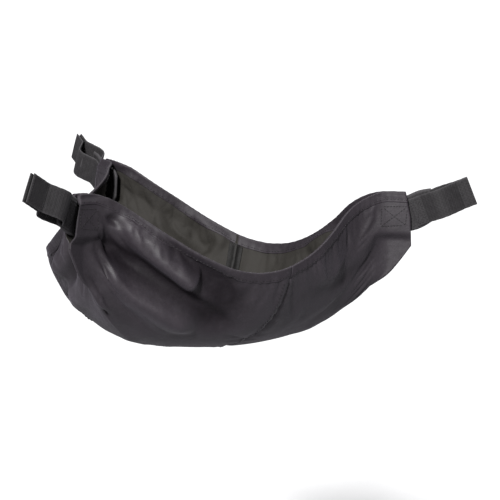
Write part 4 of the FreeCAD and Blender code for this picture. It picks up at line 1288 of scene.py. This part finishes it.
def make_piping():
    """Piping round the pouch's edge."""
    verts, uv = [], []
    for j, t in enumerate(ANGLES):
        out = np.array([math.cos(t), math.sin(t), 0])
        centre = out * (POUCH_RADIUS + 0.6) + [0, 0, FLOOR + 17.6 + 0.35 * math.sin(9 * t)]
        for k in range(12):
            angle = 2 * math.pi * k / 12
            thick = 1.25 + 0.06 * math.sin(j * 2.1 + k)
            verts.append(centre + out * math.cos(angle) * thick
                         + np.array([0, 0, math.sin(angle) * thick]))
            uv.append((k * 0.65, j * 2.95))
    faces = grid_faces(SPOKES, 12, close_cols=True, close_rows=True)
    register(solid("pouch_piping", verts, faces, (TAPE,), uv=np.array(uv)),
             "ballast")


def make_grab():
    """Grab strap arched over the crown along x."""
    x = np.linspace(-44.5, 44.5, 120)
    z = np.array([crown(v) + 0.95 + (6.2 * (1 - (v / 30.0) ** 2) ** 2 if abs(v) < 30 else 0)
                  for v in x])
    centre = np.stack([x, np.zeros_like(x), z], -1)
    tangent = unit(np.gradient(centre, axis=0))
    normal = np.stack([-tangent[:, 2], np.zeros_like(x), tangent[:, 0]], -1)
    obj = ribbon("pouch_grab", centre, normal, np.array([0, 1.0, 0]), width=19.8,
                 curl=-0.15, wave=0.04)
    register(obj, "ballast", ["pouch_grab_strap"])


def pouch_stitches():
    """A ring inside the piping and a crossed box at each end of the grab strap."""
    around = np.r_[ANGLES, ANGLES[:1]]
    ring = np.array([pouch_point(POUCH_TOP, 4, t, True) for t in around])
    normal = np.stack([np.cos(around) * .6, np.sin(around) * .6, np.full(len(around), .8)], -1)
    runs = [(ring + normal * 0.1, normal, dict(start=0.1, pitch=3.4))]
    for side in (-1, 1):
        inside, outside = 32.5 * side, 43.0 * side
        box = [(inside, -7.8), (outside, -7.8), (outside, 7.8), (inside, 7.8)]
        for line in box_lines(box, BOX_CROSS, 14):
            path = [(x, y, crown(x) + 0.95 + WEB_THICK / 2) for x, y in line]
            runs.append((path, np.repeat([[0, 0, 1.0]], 14, 0),
                         dict(pitch=2.5, length=1.9, radius=0.25)))
    register(thread_object("stitches_pouch", runs), "ballast")


def make_sand():
    """The fill, drawn in a little from the pouch."""
    profile = SAND_PROFILE.copy()
    profile[:, 0] = np.maximum(profile[:, 0] * 0.975 - 0.2, 0.01)
    z = profile[:, 2]
    profile[:, 2] = z + np.where(z > FLOOR + 17, -1.5, 0.7) * ease(np.abs(z - FLOOR - 17) / 6.0)
    verts = []
    for r, _, z in profile:
        for t in ANGLES:
            x, y = r * math.cos(t), r * math.sin(t)
            verts.append((x, y, z + 0.3 * noise.noise(Vector((x * .3, y * .3, z * .1)))))
    faces = grid_faces(len(profile), SPOKES, close_cols=True)
    faces += [tuple(range(SPOKES)), tuple(range(len(verts) - 1, len(verts) - SPOKES - 1, -1))]
    obj = solid("sand", verts, faces, (SAND,), uv=np.array(verts)[:, :2])
    register(obj, "ballast", ["sand_fill"])


make_pouch()
make_piping()
make_grab()
pouch_stitches()
make_sand()


# ------------------------------------------------------------------ stage, light, camera
def make_floor():
    """Floor, pale to the camera and darker to the light it bounces."""
    bpy.ops.mesh.primitive_plane_add(size=40, location=(0, 0, -0.30))
    floor = bpy.context.object
    floor.name = "floor"
    mat = bpy.data.materials.new("pale_floor")
    mat.use_nodes = True
    graph = Graph(mat.node_tree)
    shader = mat.node_tree.nodes["Principled BSDF"]
    drift = graph.add("ShaderNodeTexNoise", Scale=3.0).outputs[0]
    grey = 0.84
    seen = graph.mix(drift, (grey * .985,) * 3, (grey,) * 3)
    eye = graph.add("ShaderNodeLightPath").outputs["Is Camera Ray"]
    graph.link(graph.mix(eye, (0.32, 0.315, 0.33), seen), shader.inputs["Base Color"])
    shader.inputs["Roughness"].default_value = 0.9
    floor.data.materials.append(mat)


def make_world():
    """White to the camera, a soft half-light for the cloth."""
    world = scene.world or bpy.data.worlds.new("World")
    scene.world = world
    world.use_nodes = True
    graph = Graph(world.node_tree)
    background = world.node_tree.nodes.get("Background") or graph.add("ShaderNodeBackground")
    eye = graph.add("ShaderNodeLightPath").outputs["Is Camera Ray"]
    graph.link(graph.mix(eye, (0.16, 0.16, 0.17), (1.0, 1.0, 1.0)), background.inputs[0])
    background.inputs[1].default_value = 1.0


def sun(name, direction, strength, degrees):
    light = bpy.data.lights.new(name, "SUN")
    light.energy, light.angle = strength, math.radians(degrees)
    obj = bpy.data.objects.new(name, light)
    obj.rotation_euler = Vector(direction).to_track_quat("-Z", "Y").to_euler()
    scene.collection.objects.link(obj)


PITCH, ROLL, YAW = 0.0878, 0.0483, 0.044        # radians
CAMERA_BACK, CAMERA_UP = 3203.44, 333.2145      # from the axis; above the strap plane
AIM_RIGHT, AIM_DOWN = 0.013753818, 0.032092242  # slopes from that pose to the bag's middle
LENS = 270.77121


def make_camera():
    """Camera in front of the bag, turned from its pitch, roll and yaw to the bag's middle."""
    camera = bpy.data.objects.new("camera", bpy.data.cameras.new("camera"))
    scene.collection.objects.link(camera)
    level = np.array([1, 0, 0.0])
    rise = np.array([0, math.sin(PITCH), math.cos(PITCH)])
    back = np.array([0, -math.cos(PITCH), math.sin(PITCH)])
    cos, sin = math.cos(ROLL), math.sin(ROLL)
    yaw = math.degrees(YAW)
    pose = rotz([cos * level + sin * rise, -sin * level + cos * rise, back], yaw).T
    back = -unit(pose @ np.array([AIM_RIGHT, -AIM_DOWN, -1.0]))
    right = unit(np.cross(pose[:, 1], back))
    matrix = np.eye(4)
    matrix[:3, :3] = np.stack([right, np.cross(back, right), back], 1)
    matrix[:3, 3] = rotz([0, -CAMERA_BACK, CAMERA_UP + STRAP_Z], yaw) * MM
    camera.matrix_world = Matrix(matrix.tolist())
    camera.data.sensor_fit = "HORIZONTAL"
    camera.data.sensor_width = 36.0
    camera.data.lens = LENS
    camera.data.clip_end = 100
    scene.camera = camera


make_floor()
make_world()
sun("key", direction=(0.24, 0.90, -0.46), strength=5.6, degrees=8)
sun("back", direction=(-0.25, -0.45, -1.0), strength=1.7, degrees=20)
make_camera()
scene.view_settings.view_transform = "Standard"
